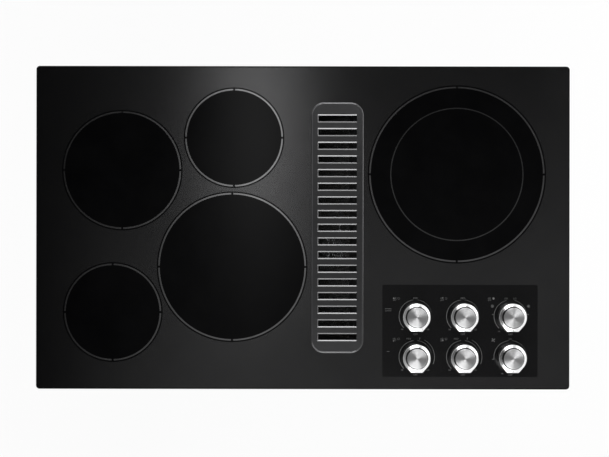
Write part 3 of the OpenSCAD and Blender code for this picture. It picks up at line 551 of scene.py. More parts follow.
def spun_metal(axis):
    """Bright disc let into a knob, turned in fine grooves that fan out the light, with painted shade: black on its side
    wall below the top edge.
    """
    settings = bpy.context.scene.cooktop_metal
    colour = settings.knob_colour
    material, tree, shader = new_finish(
        "spun_metal", colour, 0.4, 1.0, Anisotropic=0.88, Anisotropic_Rotation=0.25
    )
    around = add(tree, "ShaderNodeTangent", direction_type="RADIAL", axis="Z")
    tree.links.new(around.outputs["Tangent"], shader.inputs["Tangent"])
    grooves = place(tree, spun_group(), Axis=axis, Pitch=settings.groove_pitch)
    height = parts(tree, object_point(tree))["Z"]
    # Painted shade: below the disc's top edge its side wall is black.
    edge = remap(tree, height, axis.z + 23.1 * MM, axis.z + 23.0 * MM, 0.0, 1.0)
    grooved = mix_colours(tree, grooves["Mask"], darker(colour, 0.8), colour)
    drive(
        tree, shader,
        Base_Color=mix_colours(tree, edge, grooved, (0.004, 0.004, 0.004)),
        Roughness=remap(tree, grooves["Mask"], 0.0, 1.0, 0.37, 0.46),
    )
    raise_surface(tree, shader, grooves["Height"], 0.03 * MM, 0.6)
    return material


def grille_metal():
    """Dark satin grille, polished on the slots' sloping edges; the same polish on the ends of its bead and on its
    sloping faces, stronger towards the right, is a painted highlight.
    """
    settings = bpy.context.scene.cooktop_metal
    colour, polish = settings.grille_colour, settings.polish_colour
    material, tree, shader = new_finish("grille_metal", colour, 0.34, 1.0)
    lines = place(tree, brushed_group(), Squeeze=(60.0, 2600.0, 60.0))
    tone = place(tree, patches_group(), Scale=12.0, Contrast=1.6)["Mask"]
    satin = mix_colours(tree, tone, darker(colour, 0.9), darker(colour, 1.08))
    up = parts(tree, add(tree, "ShaderNodeTexCoord").outputs["Normal"])["Z"]
    leaning = maths(
        tree, "MULTIPLY",
        remap(tree, up, 0.2, 0.45, 0.0, 1.0, smooth=True),
        remap(tree, up, 0.97, 0.9, 0.0, 1.0, smooth=True),
    )
    low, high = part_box("vent_grille")
    part = parts(tree, object_point(tree))
    aside = maths(tree, "SUBTRACT", part["X"], (low.x + high.x) / 2)
    slots = remap(tree, maths(tree, "ABSOLUTE", aside), 34 * MM, 36 * MM, 1.0, 0.0)
    half = (high.y - low.y) / 2
    # Painted highlight: the sloping faces near both ends of the grille take the polish colour.
    ends = remap(tree, maths(tree, "ABSOLUTE", part["Y"]), half - 24 * MM, half - 12 * MM, 0.0, 1.0, smooth=True)
    # Painted highlight: the other sloping faces take more of the polish colour towards the right.
    sides = remap(tree, aside, -40 * MM, 40 * MM, 0.05, 1.0)
    polish_and_painted_highlight = maths(tree, "MULTIPLY", leaning, maths(tree, "MAXIMUM", maths(tree, "MAXIMUM", slots, ends), sides))
    satin_rough = remap(tree, lines["Mask"], 0.0, 1.0, 0.28, 0.4)
    rough = maths(tree, "SUBTRACT", satin_rough, maths(tree, "MULTIPLY", polish_and_painted_highlight, 0.03))
    drive(tree, shader, Base_Color=mix_colours(tree, polish_and_painted_highlight, satin, polish), Roughness=rough)
    raise_surface(tree, shader, lines["Height"], 0.02 * MM, 0.35)
    return material


def zinc_sheet():
    """Zinc-coated sheet steel with spangle, dust and handling marks."""
    colour = bpy.context.scene.cooktop_metal.steel_colour
    material, tree, shader = new_finish("zinc_sheet", colour, 0.4, 1.0)
    flakes = place(tree, spangle_group(), Scale=130.0)
    stain = place(tree, patches_group(), Scale=11.0, Contrast=2.4)["Mask"]
    scratch = place(tree, scuff_group(), Scale=150.0, Amount=0.5)["Mask"]
    dust = place(tree, dust_group(), Amount=0.35)["Mask"]
    flaked = mix_colours(tree, flakes["Mask"], darker(colour, 0.72), darker(colour, 1.12))
    stained = mix_colours(tree, maths(tree, "MULTIPLY", stain, 0.4), flaked, (0.4, 0.41, 0.41))
    scratched = mix_colours(tree, scratch, stained, (0.8, 0.81, 0.82))
    rough = remap(tree, flakes["Mask"], 0.0, 1.0, 0.3, 0.46)
    drive(
        tree, shader,
        Base_Color=mix_colours(tree, dust, scratched, (0.42, 0.4, 0.37)),
        Roughness=maths(tree, "ADD", rough, maths(tree, "MULTIPLY", dust, 0.3)),
    )
    raise_surface(tree, shader, flakes["Height"], 0.06 * MM, 0.5)
    return material


def plain_steel(name, colour, roughness, line_squeeze):
    """Bare or plated metal with drawn lines and small tone changes."""
    material, tree, shader = new_finish(name, colour, roughness, 1.0)
    lines = place(tree, brushed_group(), Squeeze=line_squeeze)
    tone = place(tree, patches_group(), Scale=40.0, Contrast=1.8)["Mask"]
    drive(
        tree, shader,
        Base_Color=mix_colours(tree, tone, darker(colour, 0.8), darker(colour, 1.05)),
        Roughness=remap(tree, lines["Mask"], 0.0, 1.0, roughness * 0.75, roughness * 1.2),
    )
    raise_surface(tree, shader, lines["Height"], 0.02 * MM, 0.4)
    return material


def satin_paint(name, colour):
    """Baked paint with orange peel, dust and scratches down to the metal."""
    material, tree, shader = new_finish(name, colour, 0.42)
    peel = place(tree, grain_group(), Scale=420.0)
    scratch = place(tree, scuff_group(), Scale=120.0, Amount=0.35)["Mask"]
    dust = place(tree, dust_group(), Amount=0.45)["Mask"]
    tone = place(tree, patches_group(), Scale=8.0, Contrast=1.6)["Mask"]
    toned = mix_colours(tree, tone, darker(colour, 0.85), darker(colour, 1.15))
    scratched = mix_colours(tree, scratch, toned, (0.3, 0.3, 0.31))
    rough = remap(tree, peel["Mask"], 0.0, 1.0, 0.36, 0.48)
    drive(
        tree, shader,
        Base_Color=mix_colours(tree, dust, scratched, (0.3, 0.285, 0.26)),
        Roughness=maths(tree, "ADD", rough, maths(tree, "MULTIPLY", dust, 0.35)),
    )
    raise_surface(tree, shader, peel["Height"], 0.05 * MM, 0.5)
    return material


def moulded_plastic(name, colour, roughness, **sockets):
    """Moulded plastic with a fine skin and slight tone changes."""
    material, tree, shader = new_finish(name, colour, roughness, **sockets)
    skin = place(tree, grain_group(), Scale=1100.0)
    tone = place(tree, patches_group(), Scale=25.0, Contrast=1.5)["Mask"]
    drive(
        tree, shader,
        Base_Color=mix_colours(tree, tone, darker(colour, 0.9), darker(colour, 1.04)),
        Roughness=remap(tree, skin["Mask"], 0.0, 1.0, roughness * 0.85, roughness * 1.2),
    )
    raise_surface(tree, shader, skin["Height"], 0.02 * MM, 0.5)
    return material


def foam_skin():
    """Open-cell black foam tape."""
    material, tree, shader = new_finish("foam_seal", (0.03, 0.03, 0.03), 0.85)
    cells = add(tree, "ShaderNodeTexVoronoi", {"Vector": object_point(tree), "Scale": 900.0})
    drive(
        tree, shader,
        Base_Color=mix_colours(tree, cells.outputs["Distance"], (0.012, 0.012, 0.012), (0.06, 0.06, 0.06)),
    )
    raise_surface(tree, shader, cells.outputs["Distance"], 0.3 * MM, 0.8)
    return material


def fibre_board():
    """Pressed off-white mineral fibre, scorched in patches."""
    material, tree, shader = new_finish("insulation_fibre", (0.8, 0.77, 0.7), 0.95)
    fibres = place(tree, brushed_group(), Squeeze=(500.0, 900.0, 700.0))
    scorch = place(tree, patches_group(), Scale=24.0, Contrast=2.0)["Mask"]
    pale = mix_colours(tree, fibres["Mask"], (0.7, 0.67, 0.6), (0.86, 0.84, 0.78))
    drive(tree, shader, Base_Color=mix_colours(tree, maths(tree, "MULTIPLY", scorch, 0.4), pale, (0.5, 0.42, 0.33)))
    raise_surface(tree, shader, fibres["Height"], 0.4 * MM, 0.7)
    return material


def heated_ribbon():
    """Oxidised resistance ribbon."""
    material, tree, shader = new_finish("ribbon_alloy", (0.14, 0.12, 0.11), 0.55, 0.8)
    tint = place(tree, patches_group(), Scale=60.0, Contrast=2.2)["Mask"]
    drive(tree, shader, Base_Color=mix_colours(tree, tint, (0.08, 0.07, 0.065), (0.24, 0.19, 0.16)))
    grain = place(tree, grain_group(), Scale=1200.0)
    raise_surface(tree, shader, grain["Height"], 0.03 * MM, 0.5)
    return material


def greased_aluminium_in_painted_shade():
    """Filter mesh: aluminium with painted shade, darker than bright metal for the shade it lies in under the grille,
    and a thin yellowish grease film in patches.
    """
    # Painted shade: this grey sits well below bright aluminium and stands for the shade under the grille.
    colour = (0.22, 0.22, 0.226)
    material, tree, shader = new_finish("filter_aluminium", colour, 0.35, 1.0)
    film = place(tree, patches_group(), Scale=30.0, Contrast=2.2)["Mask"]
    lines = place(tree, brushed_group(), Squeeze=(300.0, 900.0, 300.0))
    drive(
        tree, shader,
        Base_Color=mix_colours(tree, maths(tree, "MULTIPLY", film, 0.5), colour, (0.12, 0.1, 0.07)),
        Roughness=remap(tree, lines["Mask"], 0.0, 1.0, 0.26, 0.44),
    )
    raise_surface(tree, shader, lines["Height"], 0.03 * MM, 0.4)
    return material


FINISHES = {}


def finish(name, maker, *values):
    """A material that is made once and used wherever its name comes up."""
    if name not in FINISHES:
        FINISHES[name] = maker(*values)
    return FINISHES[name]


def black_paint():
    """Black baked paint of the blower and its motor."""
    return finish("blower_paint", satin_paint, "blower_paint", (0.045, 0.045, 0.05))


def zinc():
    """The one zinc-coated sheet that all folded parts share."""
    return finish("zinc_sheet", zinc_sheet)


def bright_steel():
    """Plated steel of screws, shafts and wire."""
    return finish("bright_steel", plain_steel, "bright_steel", (0.66, 0.66, 0.67), 0.26, (500.0, 500.0, 2400.0))


def dark_gap():
    """Near-black sheet of painted shade, put behind slits and slots where only shade is."""
    return finish("dark_gap", satin_paint, "dark_gap", (0.012, 0.012, 0.013))


def white_plastic():
    """Cream plastic of the switches."""
    return finish("switch_plastic", moulded_plastic, "switch_plastic", (0.78, 0.75, 0.67), 0.42)


def dress(node, material):
    """Gives a CAD node its finish."""
    target = NODES[node]
    if not target.material_slots:
        target.data.materials.append(material)
    for slot in target.material_slots:
        slot.material = material


def soften(node, width):
    """Rounds a CAD node's sharp edges with modifiers, which leaves its mesh as it is."""
    target = NODES[node]
    weld = target.modifiers.new("weld", "WELD")
    weld.merge_threshold = 0.002 * MM
    bevel = target.modifiers.new("soft_edges", "BEVEL")
    bevel.width = width
    bevel.segments = 2
    bevel.limit_method = "ANGLE"
    bevel.angle_limit = math.radians(32)
    bevel.use_clamp_overlap = True


def keep(name, mesh, body, material, smooth_angle=35.0):
    """Turns a mesh into a piece that rides on a body and takes its finish from a slot."""
    piece = bpy.data.objects.new(name, mesh)
    bpy.context.scene.collection.objects.link(piece)
    mesh.materials.clear()
    mesh.materials.append(material)
    shade(mesh, smooth_angle)
    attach(piece, body)
    return piece


def shade(mesh, smooth_angle):
    """Smooth shading, with edges sharper than the angle kept crisp."""
    for face in mesh.polygons:
        face.use_smooth = smooth_angle > 0
    if smooth_angle > 0:
        mesh.set_sharp_from_angle(angle=math.radians(smooth_angle))


def mesh_from(bm, name):
    """Closes a bmesh into a mesh with its faces turned outwards."""
    bmesh.ops.recalc_face_normals(bm, faces=bm.faces)
    mesh = bpy.data.meshes.new(name)
    bm.to_mesh(mesh)
    bm.free()
    return mesh


def skin_rings(bm, rings):
    """Joins rings of equal length into a tube, and caps its ends."""
    layers = [[bm.verts.new(point) for point in ring] for ring in rings]
    count = len(rings[0])
    for lower, upper in zip(layers, layers[1:]):
        for i in range(count):
            j = (i + 1) % count
            bm.faces.new((lower[i], lower[j], upper[j], upper[i]))
    bm.faces.new(reversed(layers[0]))
    bm.faces.new(layers[-1])


def frame_of(direction):
    """Two unit vectors square to a direction."""
    along = Vector(direction).normalized()
    side = along.orthogonal().normalized()
    return side, along.cross(side)


def turn_shape(bm, origin, direction, profile, steps):
    """Turns a profile of (radius, height), in millimetres, about an axis."""
    origin, along = Vector(origin), Vector(direction).normalized()
    side, up = frame_of(direction)
    rings = []
    for radius, height in profile:
        reach = max(radius, 0.01) * MM
        ring = []
        for i in range(steps):
            turn = 2 * math.pi * i / steps
            ring.append(origin + along * height * MM + (side * math.cos(turn) + up * math.sin(turn)) * reach)
        rings.append(ring)
    skin_rings(bm, rings)


def pressed_bead(bm, start, end, outward, width, height):
    """A long pressed rib with rounded ends, standing on a sheet."""
    start, end, outward = Vector(start), Vector(end), Vector(outward).normalized()
    along = (end - start).normalized()
    side = along.cross(outward).normalized()
    half = width / 2
    length = (end - start).length
    stations = [0.0, half * 0.3, half, length - half, length - half * 0.3, length]
    shares = [0.15, 0.62, 1.0, 1.0, 0.62, 0.15]
    steps = 10
    rings = []
    for reach, share in zip(stations, shares):
        ring = []
        for i in range(steps + 1):
            turn = math.pi * i / steps
            across, out = math.cos(turn) * half * share, math.sin(turn) * height * share
            ring.append(start + along * reach + side * across + outward * out)
        rings.append(ring)
    skin_rings(bm, rings)


def tube_path(bm, points, radius):
    """A round bar along points."""
    turns = [2 * math.pi * i / 10 for i in range(10)]
    rings = []
    points = [Vector(p) for p in points]
    side = None
    for i, point in enumerate(points):
        before = points[max(i - 1, 0)]
        after = points[min(i + 1, len(points) - 1)]
        along = (after - before).normalized()
        if side is None:
            side = along.orthogonal().normalized()
        side = (side - along * side.dot(along)).normalized()
        up = along.cross(side)
        rings.append([point + (side * math.cos(turn) + up * math.sin(turn)) * radius for turn in turns])
    skin_rings(bm, rings)


def rounded_rectangle(centre, width, depth, radius):
    """Outline of a rounded rectangle."""
    steps = 8
    points = []
    for quarter in range(4):
        turn = math.pi / 2 * quarter
        corner_x = (width / 2 - radius) * (1 if quarter in (0, 3) else -1)
        corner_y = (depth / 2 - radius) * (1 if quarter in (0, 1) else -1)
        for i in range(steps + 1):
            around = turn + math.pi / 2 * i / steps
            x, y = radius * math.cos(around), radius * math.sin(around)
            points.append((centre[0] + corner_x + x, centre[1] + corner_y + y))
    return points


def circle_outline(centre, radius, steps):
    """Outline of a circle."""
    turns = [2 * math.pi * i / steps for i in range(steps)]
    return [(centre[0] + radius * math.cos(turn), centre[1] + radius * math.sin(turn)) for turn in turns]


def arc_band(centre, radius, first, last, width_first, width_last, steps=40):
    """Outline of an arc whose width goes from one value to another. Angles in degrees."""
    outer, inner = [], []
    for i in range(steps + 1):
        share = i / steps
        turn = math.radians(first + (last - first) * share)
        half = (width_first + (width_last - width_first) * share) / 2
        for points, reach in ((outer, radius + half), (inner, radius - half)):
            points.append((centre[0] + reach * math.cos(turn), centre[1] + reach * math.sin(turn)))
    return outer + inner[::-1]


def bar_outline(start, end, width):
    """Outline of a straight bar between two points."""
    a, b = Vector((*start, 0)), Vector((*end, 0))
    side = (b - a).normalized().cross(Vector((0, 0, 1))) * (width / 2)
    return [tuple(p[:2]) for p in (a + side, b + side, b - side, a - side)]


def printed_plate(name, outlines, z, film):
    """A thin plate with holes from closed outlines, lying at height z."""
    curve = bpy.data.curves.new(name, "CURVE")
    curve.dimensions = "2D"
    curve.fill_mode = "BOTH"
    curve.extrude = film / 2
    for outline in outlines:
        spline = curve.splines.new("POLY")
        spline.points.add(len(outline) - 1)
        for point, (x, y) in zip(spline.points, outline):
            point.co = (x, y, 0.0, 1.0)
        spline.use_cyclic_u = True
    return flat_mesh(name, curve, z + film / 2)


def printed_word(name, text, place_at, size, z, film):
    """A generic word as thin ink, centred on a point."""
    curve = bpy.data.curves.new(name, "FONT")
    curve.body = text
    curve.size = size
    curve.align_x = "CENTER"
    curve.align_y = "CENTER"
    curve.extrude = film / 2
    curve.resolution_u = 3
    mesh = flat_mesh(name, curve, z + film / 2)
    mesh.transform(Matrix.Translation((place_at[0], place_at[1], 0)))
    return mesh


def flat_mesh(name, curve, z):
    """Mesh of a flat curve, lifted to a height."""
    shape = bpy.data.objects.new(name, curve)
    bpy.context.scene.collection.objects.link(shape)
    bpy.context.view_layer.update()
    mesh = bpy.data.meshes.new_from_object(shape)
    bpy.data.objects.remove(shape)
    bpy.data.curves.remove(curve)
    mesh.transform(Matrix.Translation((0, 0, z)))
    return mesh


def join_meshes(name, meshes):
    """Several meshes as one."""
    bm = bmesh.new()
    for mesh in meshes:
        bm.from_mesh(mesh)
        bpy.data.meshes.remove(mesh)
    joined = bpy.data.meshes.new(name)
    bm.to_mesh(joined)
    bm.free()
    return joined


class COOKTOP_OT_stage(bpy.types.Operator):
    """Makes the floor, the soft lamps, the sky and the camera"""

    bl_idname = "cooktop.stage"
    bl_label = "Stage"

    def execute(self, context):
        settings = context.scene.cooktop_stage
        context.scene.view_settings.view_transform = "Standard"
        self.add_camera(context, settings)
        self.add_floor(settings)
        self.add_sky(context)
        for name, compass, lean, share in (("rear", 90, 47, 1.6), ("front", -90, 47, 1.55), ("right", 20, 58, 0.7)):
            self.add_lamp(context, name, math.radians(compass), math.radians(lean), settings.lamp_power * share)
        return {"FINISHED"}

    def add_camera(self, context, settings):
        """Camera straight above the glass, a little off its centre, as the photo was taken."""
        camera = bpy.data.cameras.new("camera")
        camera.lens = camera.sensor_width * settings.camera_height / settings.frame_width
        camera.clip_end = 50
        holder = bpy.data.objects.new("camera", camera)
        holder.location = (*settings.camera_offset, GLASS_Z + settings.camera_height)
        holder.rotation_euler = (0, 0, settings.camera_roll)
        context.scene.collection.objects.link(holder)
        context.scene.camera = holder

    def add_floor(self, settings):
        """Pale floor below the jar, which a view from underneath looks through."""
        height = CAD_LOW.z - settings.floor_gap
        bm = bmesh.new()
        bmesh.ops.create_grid(bm, x_segments=4, y_segments=4, size=FLOOR_REACH)
        bmesh.ops.translate(bm, verts=bm.verts, vec=(0, 0, height))
        mesh = bpy.data.meshes.new("floor")
        bm.to_mesh(mesh)
        bm.free()
        material = bpy.data.materials.new("pale_floor")
        material.use_nodes = True
        tree = material.node_tree
        tree.nodes.clear()
        path = add(tree, "ShaderNodeLightPath")
        seen = maths(tree, "ADD", path.outputs["Is Camera Ray"], path.outputs["Is Glossy Ray"])
        seen = maths(tree, "ADD", seen, path.outputs["Is Transmission Ray"], clamp=True)
        cloud = place(tree, patches_group(), Scale=0.8, Contrast=1.0)["Mask"]
        tone = mix_colours(tree, cloud, darker(settings.floor_colour, 0.97), settings.floor_colour)
        lit = add(tree, "ShaderNodeBsdfDiffuse", {"Color": tone})
        thin = add(tree, "ShaderNodeBsdfDiffuse", {"Color": (0.15, 0.15, 0.15, 1.0)})
        white = add(tree, "ShaderNodeEmission", {"Color": (1.0, 1.0, 1.0, 1.0), "Strength": 0.88})
        shown = add(tree, "ShaderNodeAddShader", {0: thin.outputs["BSDF"], 1: white.outputs["Emission"]})
        either = add(tree, "ShaderNodeMixShader", {0: seen, 1: lit.outputs["BSDF"], 2: shown.outputs["Shader"]})
        clear = add(tree, "ShaderNodeBsdfTransparent")
        back = add(tree, "ShaderNodeNewGeometry").outputs["Backfacing"]
        ended = add(tree, "ShaderNodeMixShader", {0: back, 1: either.outputs["Shader"], 2: clear.outputs["BSDF"]})
        add(tree, "ShaderNodeOutputMaterial", {"Surface": ended.outputs["Shader"]})
        mesh.materials.append(material)
        floor = bpy.data.objects.new("floor", mesh)
        bpy.context.scene.collection.objects.link(floor)

    def add_sky(self, context):
        """Studio surround: white round the sides, greyer at the left, and dark overhead but for two faint glows."""
        world = bpy.data.worlds.new("studio")
        world.use_nodes = True
        context.scene.world = world
        tree = world.node_tree
        tree.nodes.clear()
        direction = add(tree, "ShaderNodeTexCoord").outputs["Generated"]
        part = parts(tree, direction)
        rise = maths(tree, "MAXIMUM", part["Z"], 0.05)
        across = maths(tree, "DIVIDE", part["X"], rise)
        along = maths(tree, "DIVIDE", part["Y"], rise)
        side = remap(tree, part["X"], -0.75, 0.1, 0.42, 1.0, smooth=True)
        total = maths(tree, "MULTIPLY", remap(tree, part["Z"], 0.66, 0.42, 0.011, 1.0, smooth=True), side)
        ridge_x, ridge_y = (
            maths(tree, "POWER", maths(tree, "DIVIDE", maths(tree, "SUBTRACT", value, centre), width), 2.0)
            for value, centre, width in ((across, -0.054, 0.051), (along, 0.127, 0.17))
        )
        ridge = maths(tree, "EXPONENT", maths(tree, "MULTIPLY", maths(tree, "ADD", ridge_x, ridge_y), -1.0))
        total = maths(tree, "ADD", total, maths(tree, "MULTIPLY", ridge, 0.6))
        wide = maths(
            tree, "MULTIPLY",
            remap(tree, across, -0.32, -0.1, 0.0, 1.0, smooth=True),
            remap(tree, along, 0.2, -0.05, 0.012, 0.092),
        )
        total = maths(tree, "ADD", total, wide)
        sky = add(tree, "ShaderNodeBackground", {"Color": total, "Strength": 1.0})
        add(tree, "ShaderNodeOutputWorld", {"Surface": sky.outputs["Background"]})

    def add_lamp(self, context, name, compass, lean, power):
        """One soft square lamp aimed at the glass."""
        lamp = bpy.data.lights.new("lamp_" + name, "AREA")
        lamp.size = LAMP_SIZE
        lamp.energy = power
        holder = bpy.data.objects.new("lamp_" + name, lamp)
        towards = Vector((math.sin(lean) * math.cos(compass), math.sin(lean) * math.sin(compass), math.cos(lean)))
        holder.location = towards * LAMP_DISTANCE
        holder.rotation_euler = towards.to_track_quat("Z", "Y").to_euler()
        holder.visible_camera = False
        context.scene.collection.objects.link(holder)


class COOKTOP_OT_glass(bpy.types.Operator):
    """Finishes the glass and the foam below it"""

    bl_idname = "cooktop.glass"
    bl_label = "Glass"

    def execute(self, context):
        dress("glass_top", ceramic_glass())
        soften("glass_top", 0.35 * MM)
        dress("perimeter_seal", finish("foam_seal", foam_skin))
        return {"FINISHED"}


class COOKTOP_OT_printing(bpy.types.Operator):
    """Prints the field, the rings, the control field and the dials on the glass"""

    bl_idname = "cooktop.printing"
    bl_label = "Printing"

    def execute(self, context):
        settings = context.scene.cooktop_print
        self.film = settings.film
        self.print_field(settings)
        self.print_rings(settings)
        self.print_dials(settings)
        return {"FINISHED"}

    def lay(self, name, outlines, material):
        """One print on the glass."""
        mesh = printed_plate(name, outlines, GLASS_Z, self.film)
        keep(name, mesh, "root", material, smooth_angle=0)

    def print_field(self, settings):
        """Dotted field, open at the elements, the control field and the grille, and the control field's black."""
        width = GLASS_HIGH.x - GLASS_LOW.x - 2 * settings.field_margin
        depth = GLASS_HIGH.y - GLASS_LOW.y - 2 * settings.field_margin
        outlines = [rounded_rectangle((0, 0), width, depth, 4 * MM)]
        for element in ELEMENTS:
            centre, radius = ring_of(element)
            outlines.append(circle_outline(centre, radius + settings.ring_moat, 180))
        low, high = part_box("vent_grille")
        inset = 3 * MM
        size = (high.x - low.x - 2 * inset, high.y - low.y - 2 * inset)
        outlines.append(rounded_rectangle((low + high) / 2, *size, 19 * MM))
        panel = self.panel_outline(settings)
        outlines.append(panel)
        self.lay("print_field", outlines, printed_field())
        shafts = [circle_outline(axis_of(control), 6.4 * MM, 40) for control in CONTROLS]
        self.lay("print_panel", [panel, *shafts], panel_ink())

    def panel_outline(self, settings):
        """Outline of the control field, set out from the middle of the knobs."""
        places = [axis_of(control) for control in CONTROLS]
        middle_x = sum(place.x for place in places) / len(places) + settings.panel_offset[0]
        middle_y = sum(place.y for place in places) / len(places) + settings.panel_offset[1]
        return rounded_rectangle((middle_x, middle_y), *settings.panel_size, 2.5 * MM)

    def print_rings(self, settings):
        """Four arcs round each element, and a plain ring between the two zones of the right one."""
        width = settings.ring_width
        for element in ELEMENTS:
            centre, radius = ring_of(element)
            half_gap = math.degrees(settings.ring_gap / 2 / radius)
            arcs = [
                arc_band(centre, radius, turn + half_gap, turn + 90 - half_gap, width, width, 48)
                for turn in (0, 90, 180, 270)
            ]
            self.lay("print_ring_" + element, arcs, finish("ring_grey", ring_ink))
        centre, _ = ring_of("right")
        inner = settings.inner_ring_radius
        circles = [circle_outline(centre, inner + 0.9 * MM, 160), circle_outline(centre, inner - 0.9 * MM, 160)]
        self.lay("print_ring_right_inner", circles, finish("inner_ring_grey", faint_ring_ink))

    def print_dials(self, settings):
        """Arc, ticks, words and picture round each knob."""
        ink = finish("legend_grey", legend_ink)
        self.print_side_marks(ink)
        radius = settings.dial_radius
        for control in CONTROLS:
            axis = axis_of(control)
            if control == "fan":
                outlines, words = self.fan_dial(axis, radius)
            elif control == "right":
                outlines, words = self.two_zone_dial(axis, radius)
            else:
                outlines, words = self.one_zone_dial(axis, radius, control.endswith("front"))
            if control != "fan":
                outlines += self.element_picture(self.at(axis, -33.0, 29.4), control)
            meshes = [printed_plate("dial", outlines, GLASS_Z + self.film, self.film)]
            for text, (x, y), size in [("OFF", (0, -31.0), 4.4), *words]:
                meshes.append(
                    printed_word("word", text, self.at(axis, x, y), size * MM, GLASS_Z + self.film, self.film)
                )
            mesh = join_meshes("print_dial_" + control, meshes)
            keep("print_dial_" + control, mesh, "root", ink, smooth_angle=0)

    def fan_dial(self, axis, radius):
        """Two arcs, a tick and the fan's picture, and the words with them."""
        outlines = [
            arc_band(axis, radius, 234, 96, 1.2 * MM, 0.6 * MM),
            arc_band(axis, radius, 84, 20, 0.6 * MM, 0.25 * MM),
            bar_outline(self.at(axis, -31.5, -4.0), self.at(axis, -28.0, -4.0), 0.9 * MM),
            *self.fan_picture(self.at(axis, -29.4, 29.0)),
        ]
        return outlines, [("HI", (-14.0, -28.6), 3.8), ("LO", (0, 30.8), 4.0)]

    def two_zone_dial(self, axis, radius):
        """An arc, a tick and a picture on each side, one side for each zone, and the words with them."""
        outlines = [
            arc_band(axis, radius, 226, 104, 1.3 * MM, 0.4 * MM),
            arc_band(axis, radius, -46, 76, 1.1 * MM, 0.4 * MM),
        ]
        for side in (-1, 1):
            outlines.append(bar_outline(self.at(axis, side * 31.6, 3.4), self.at(axis, side * 28.8, 3.2), 0.9 * MM))
            outlines += self.zone_picture(self.at(axis, side * 31.0, 17.4), side > 0)
        return outlines, [("LO", (-7.6, 30.6), 4.0), ("LO", (7.8, 30.6), 4.0), ("HI", (-19.6, -26.0), 3.8)]

    def one_zone_dial(self, axis, radius, front):
        """Two arcs, at the front also an outer one with its tick, and the words with them."""
        outlines = [
            arc_band(axis, radius, 225, 97, 1.2 * MM, 0.6 * MM),
            arc_band(axis, radius, 83, 14, 0.6 * MM, 0.25 * MM),
        ]
        medium = (0, 30.8)
        if front:
            outlines.append(arc_band(axis, radius + 4.6 * MM, 62, -22, 0.4 * MM, 0.9 * MM))
            outlines.append(bar_outline(self.at(axis, 7.2, 29.6), self.at(axis, 7.8, 33.4), 0.8 * MM))
            medium = (-11.6, 31.0)
        return outlines, [("HI", (-22.8, -22.8), 3.8), ("LO", (21.4, -22.8), 3.6), ("MED", medium, 4.0)]

    def print_side_marks(self, ink):
        """Short plain bars at the left edge of the control field, beside each row of knobs."""
        bars = []
        for control, heights, half in (("left_rear", (9.2, 12.6), 5.6), ("left_front", (9.2,), 2.4)):
            axis = axis_of(control)
            for y in heights:
                bars.append(bar_outline(self.at(axis, -47 - half, y), self.at(axis, -47 + half, y), 0.6 * MM))
        mesh = printed_plate("print_side_marks", bars, GLASS_Z + self.film, self.film)
        keep("print_side_marks", mesh, "root", ink, smooth_angle=0)

    def at(self, axis, x, y):
        """A point beside a knob's axis, given in millimetres."""
        return (axis.x + x * MM, axis.y + y * MM)

    def element_picture(self, centre, control):
        """Small plan of the five elements, with this control's own filled in."""
        outlines = []
        for element in ELEMENTS:
            place_of, radius = ring_of(element)
            spot = (centre[0] + place_of.x * 0.0145, centre[1] + place_of.y * 0.0145)
            size = radius * 0.0125
            outlines.append(circle_outline(spot, size, 20))
            if element != control:
                outlines.append(circle_outline(spot, size - 0.3 * MM, 20))
        return outlines

    def zone_picture(self, centre, both):
        """Two circles, one in the other, for the zones of the right element."""
        outlines = [circle_outline(centre, 2.4 * MM, 28), circle_outline(centre, 1.9 * MM, 28)]
        outlines.append(circle_outline(centre, (1.2 if both else 1.0) * MM, 20))
        return outlines

    def fan_picture(self, centre):
        """A fan with four blades."""
        outlines = [circle_outline(centre, 0.7 * MM, 16)]
        for quarter in range(4):
            blade = []
            for share in range(9):
                turn = math.radians(90 * quarter + 6 + 60 * share / 8)
                reach = (1.1 + 2.6 * math.sin(math.pi * share / 8)) * MM
                blade.append((centre[0] + reach * math.cos(turn), centre[1] + reach * math.sin(turn)))
            outlines.append(blade)
        return outlines


def lug_reach(turn):
    """Distance in millimetres from a knob's axis to its foot: a circle drawn out to a flat-ended lug in front."""
    radius, half, flat = KNOB_RADIUS / MM, LUG_HALF / MM, LUG_REACH / MM
    off_front = abs((turn + math.pi / 2 + math.pi) % (2 * math.pi) - math.pi)
    corner = math.atan2(half, flat)
    tangent = corner + math.acos(radius / math.hypot(half, flat))
    if off_front < corner:
        return flat / math.cos(off_front)
    if off_front < tangent:
        return radius / math.cos(tangent - off_front)
    return radius


def knob_rings(name, axis, profile, steps=144):
    """Turned shape whose outer points follow the lug: a profile point is radius, height and share of the lug."""
    rings = [[] for _ in profile]
    for i in range(steps):
        turn = 2 * math.pi * i / steps
        beyond = lug_reach(turn) - KNOB_RADIUS / MM
        for ring, (radius, height, share) in zip(rings, profile):
            reach = radius + beyond * share
            ring.append(
                (
                    axis.x + reach * MM * math.cos(turn),
                    axis.y + reach * MM * math.sin(turn),
                    axis.z + (height - 0.3 * beyond * share) * MM if share and height > 3 else axis.z + height * MM,
                )
            )
    bm = bmesh.new()
    skin_rings(bm, rings)
    return mesh_from(bm, name)


